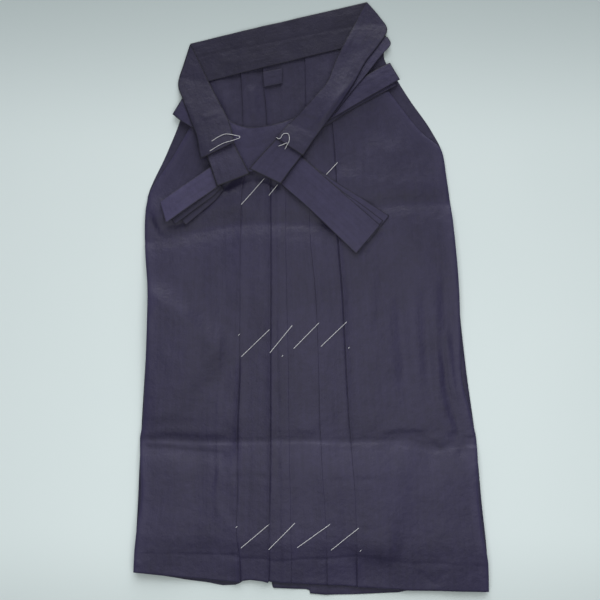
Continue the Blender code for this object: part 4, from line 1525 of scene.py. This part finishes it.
def laid_path(points, lift=0.0):
    """A path over the pile: through the points, resting on it, and dipping into it at both ends.

    Its height over the bed is the radius and the lift times an arch, less the radius times what the arch
    lacks of 1. The arch is 1 less the sixth power of the share of the way from the middle to an end.
    """
    points = np.array(points, float)
    chord = path_lengths(points)
    at = np.linspace(0, chord[-1], max(5, int(chord[-1] / PATH_STEP)))
    plan = through(chord, points, at)
    rest = pile.bed(plan[:, 0], plan[:, 1], *CLOSE_FIT)
    rest = spanned(rest[:, None], at, THREAD_SLOPE)[:, 0]
    arch = 1 - np.abs(2 * at / chord[-1] - 1) ** 6
    return np.column_stack([plan, rest + (THREAD + lift) * arch - THREAD * (1 - arch)])


def make_threads(name, paths):
    """All the threads of one kind, joined in one mesh."""
    points, faces, count = [], [], 0
    for path in paths:
        rings, quads, caps = thread_tube(path)
        points.append(rings)
        faces += (quads + count).tolist() + (caps + count).tolist()
        count += len(rings)
    mesh = bpy.data.meshes.new(name)
    mesh.from_pydata((np.concatenate(points) * MM).tolist(), [], faces)
    mesh.polygons.foreach_set("use_smooth", np.ones(len(faces), bool))
    mesh.materials.append(thread_finish)
    piece = bpy.data.objects.new(name, mesh)
    scene.collection.objects.link(piece)
    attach(piece, "root")
    print(f"{name}: {len(paths)} threads, {len(mesh.polygons)} faces")
    return piece


print("a path asks how high the pile is every", PATH_STEP, "mm")

# %% Where the stitches go
Stitch = namedtuple("Stitch", "low_x low_y high_x high_y")
STITCHES = (
    Stitch(-140, 186, -94, 238),
    Stitch(-85, 204, -67, 226),
    Stitch(29, 246, 52, 271),
    Stitch(-140, -116, -83, -61),
    Stitch(-83, -108, -38, -53),
    Stitch(-36, -100, 15, -48),
    Stitch(18, -96, 70, -46),
    Stitch(-141, -496, -84, -447),
    Stitch(-86, -499, -33, -445),
    Stitch(-29, -495, 37, -447),
    Stitch(38, -500, 94, -454),
)
SMALL_STITCHES = ((-144, -72), (74, -98), (-58, -114), (-149, -453), (97, -500))
DOT = 1.6                  # how far a small stitch reaches from its middle, along X and Y
LOOP_LIFT = 0.6            # how far a loose loop stands off the cloth
TACKS = (
    ((-198, 311), (-183, 320), (-169, 325), (-149, 322),
     (-141, 319), (-153, 313), (-173, 307), (-202, 291)),
    ((-70, 319), (-64, 315), (-56, 325), (-50, 327), (-44, 319), (-44, 313), (-47, 306), (-53, 295)),
    ((-48, 308), (-57, 304), (-66, 301)),
)

stitch_paths = [laid_path(((s.low_x, s.low_y), (s.high_x, s.high_y))) for s in STITCHES]
stitch_paths += [laid_path(((dx - DOT, dy - DOT), (dx + DOT, dy + DOT))) for dx, dy in SMALL_STITCHES]
make_threads("basting_stitches", stitch_paths)
make_threads("tacking_loops", [laid_path(points, LOOP_LIFT) for points in TACKS])

# %% [markdown]
# ## What each piece stands for
# Every piece rides on the one body, and each cloth piece hides the solid that it replaces. The strips did
# so as they were laid. The two skirts also print how much cloth went into them: the area of the sheet,
# pleats and all, over the whole length from the waist to the hem.

# %% The skirts take their places
for piece, node, area in ((back_skirt, "back_skirt", back_area), (front_skirt, "front_skirt", front_area)):
    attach(piece, "root")
    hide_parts(node)
    low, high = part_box(node)
    length = high.y - low.y
    area / length
    print(f"{node}: cut about {area / length:.2f} by {length:.2f} m")
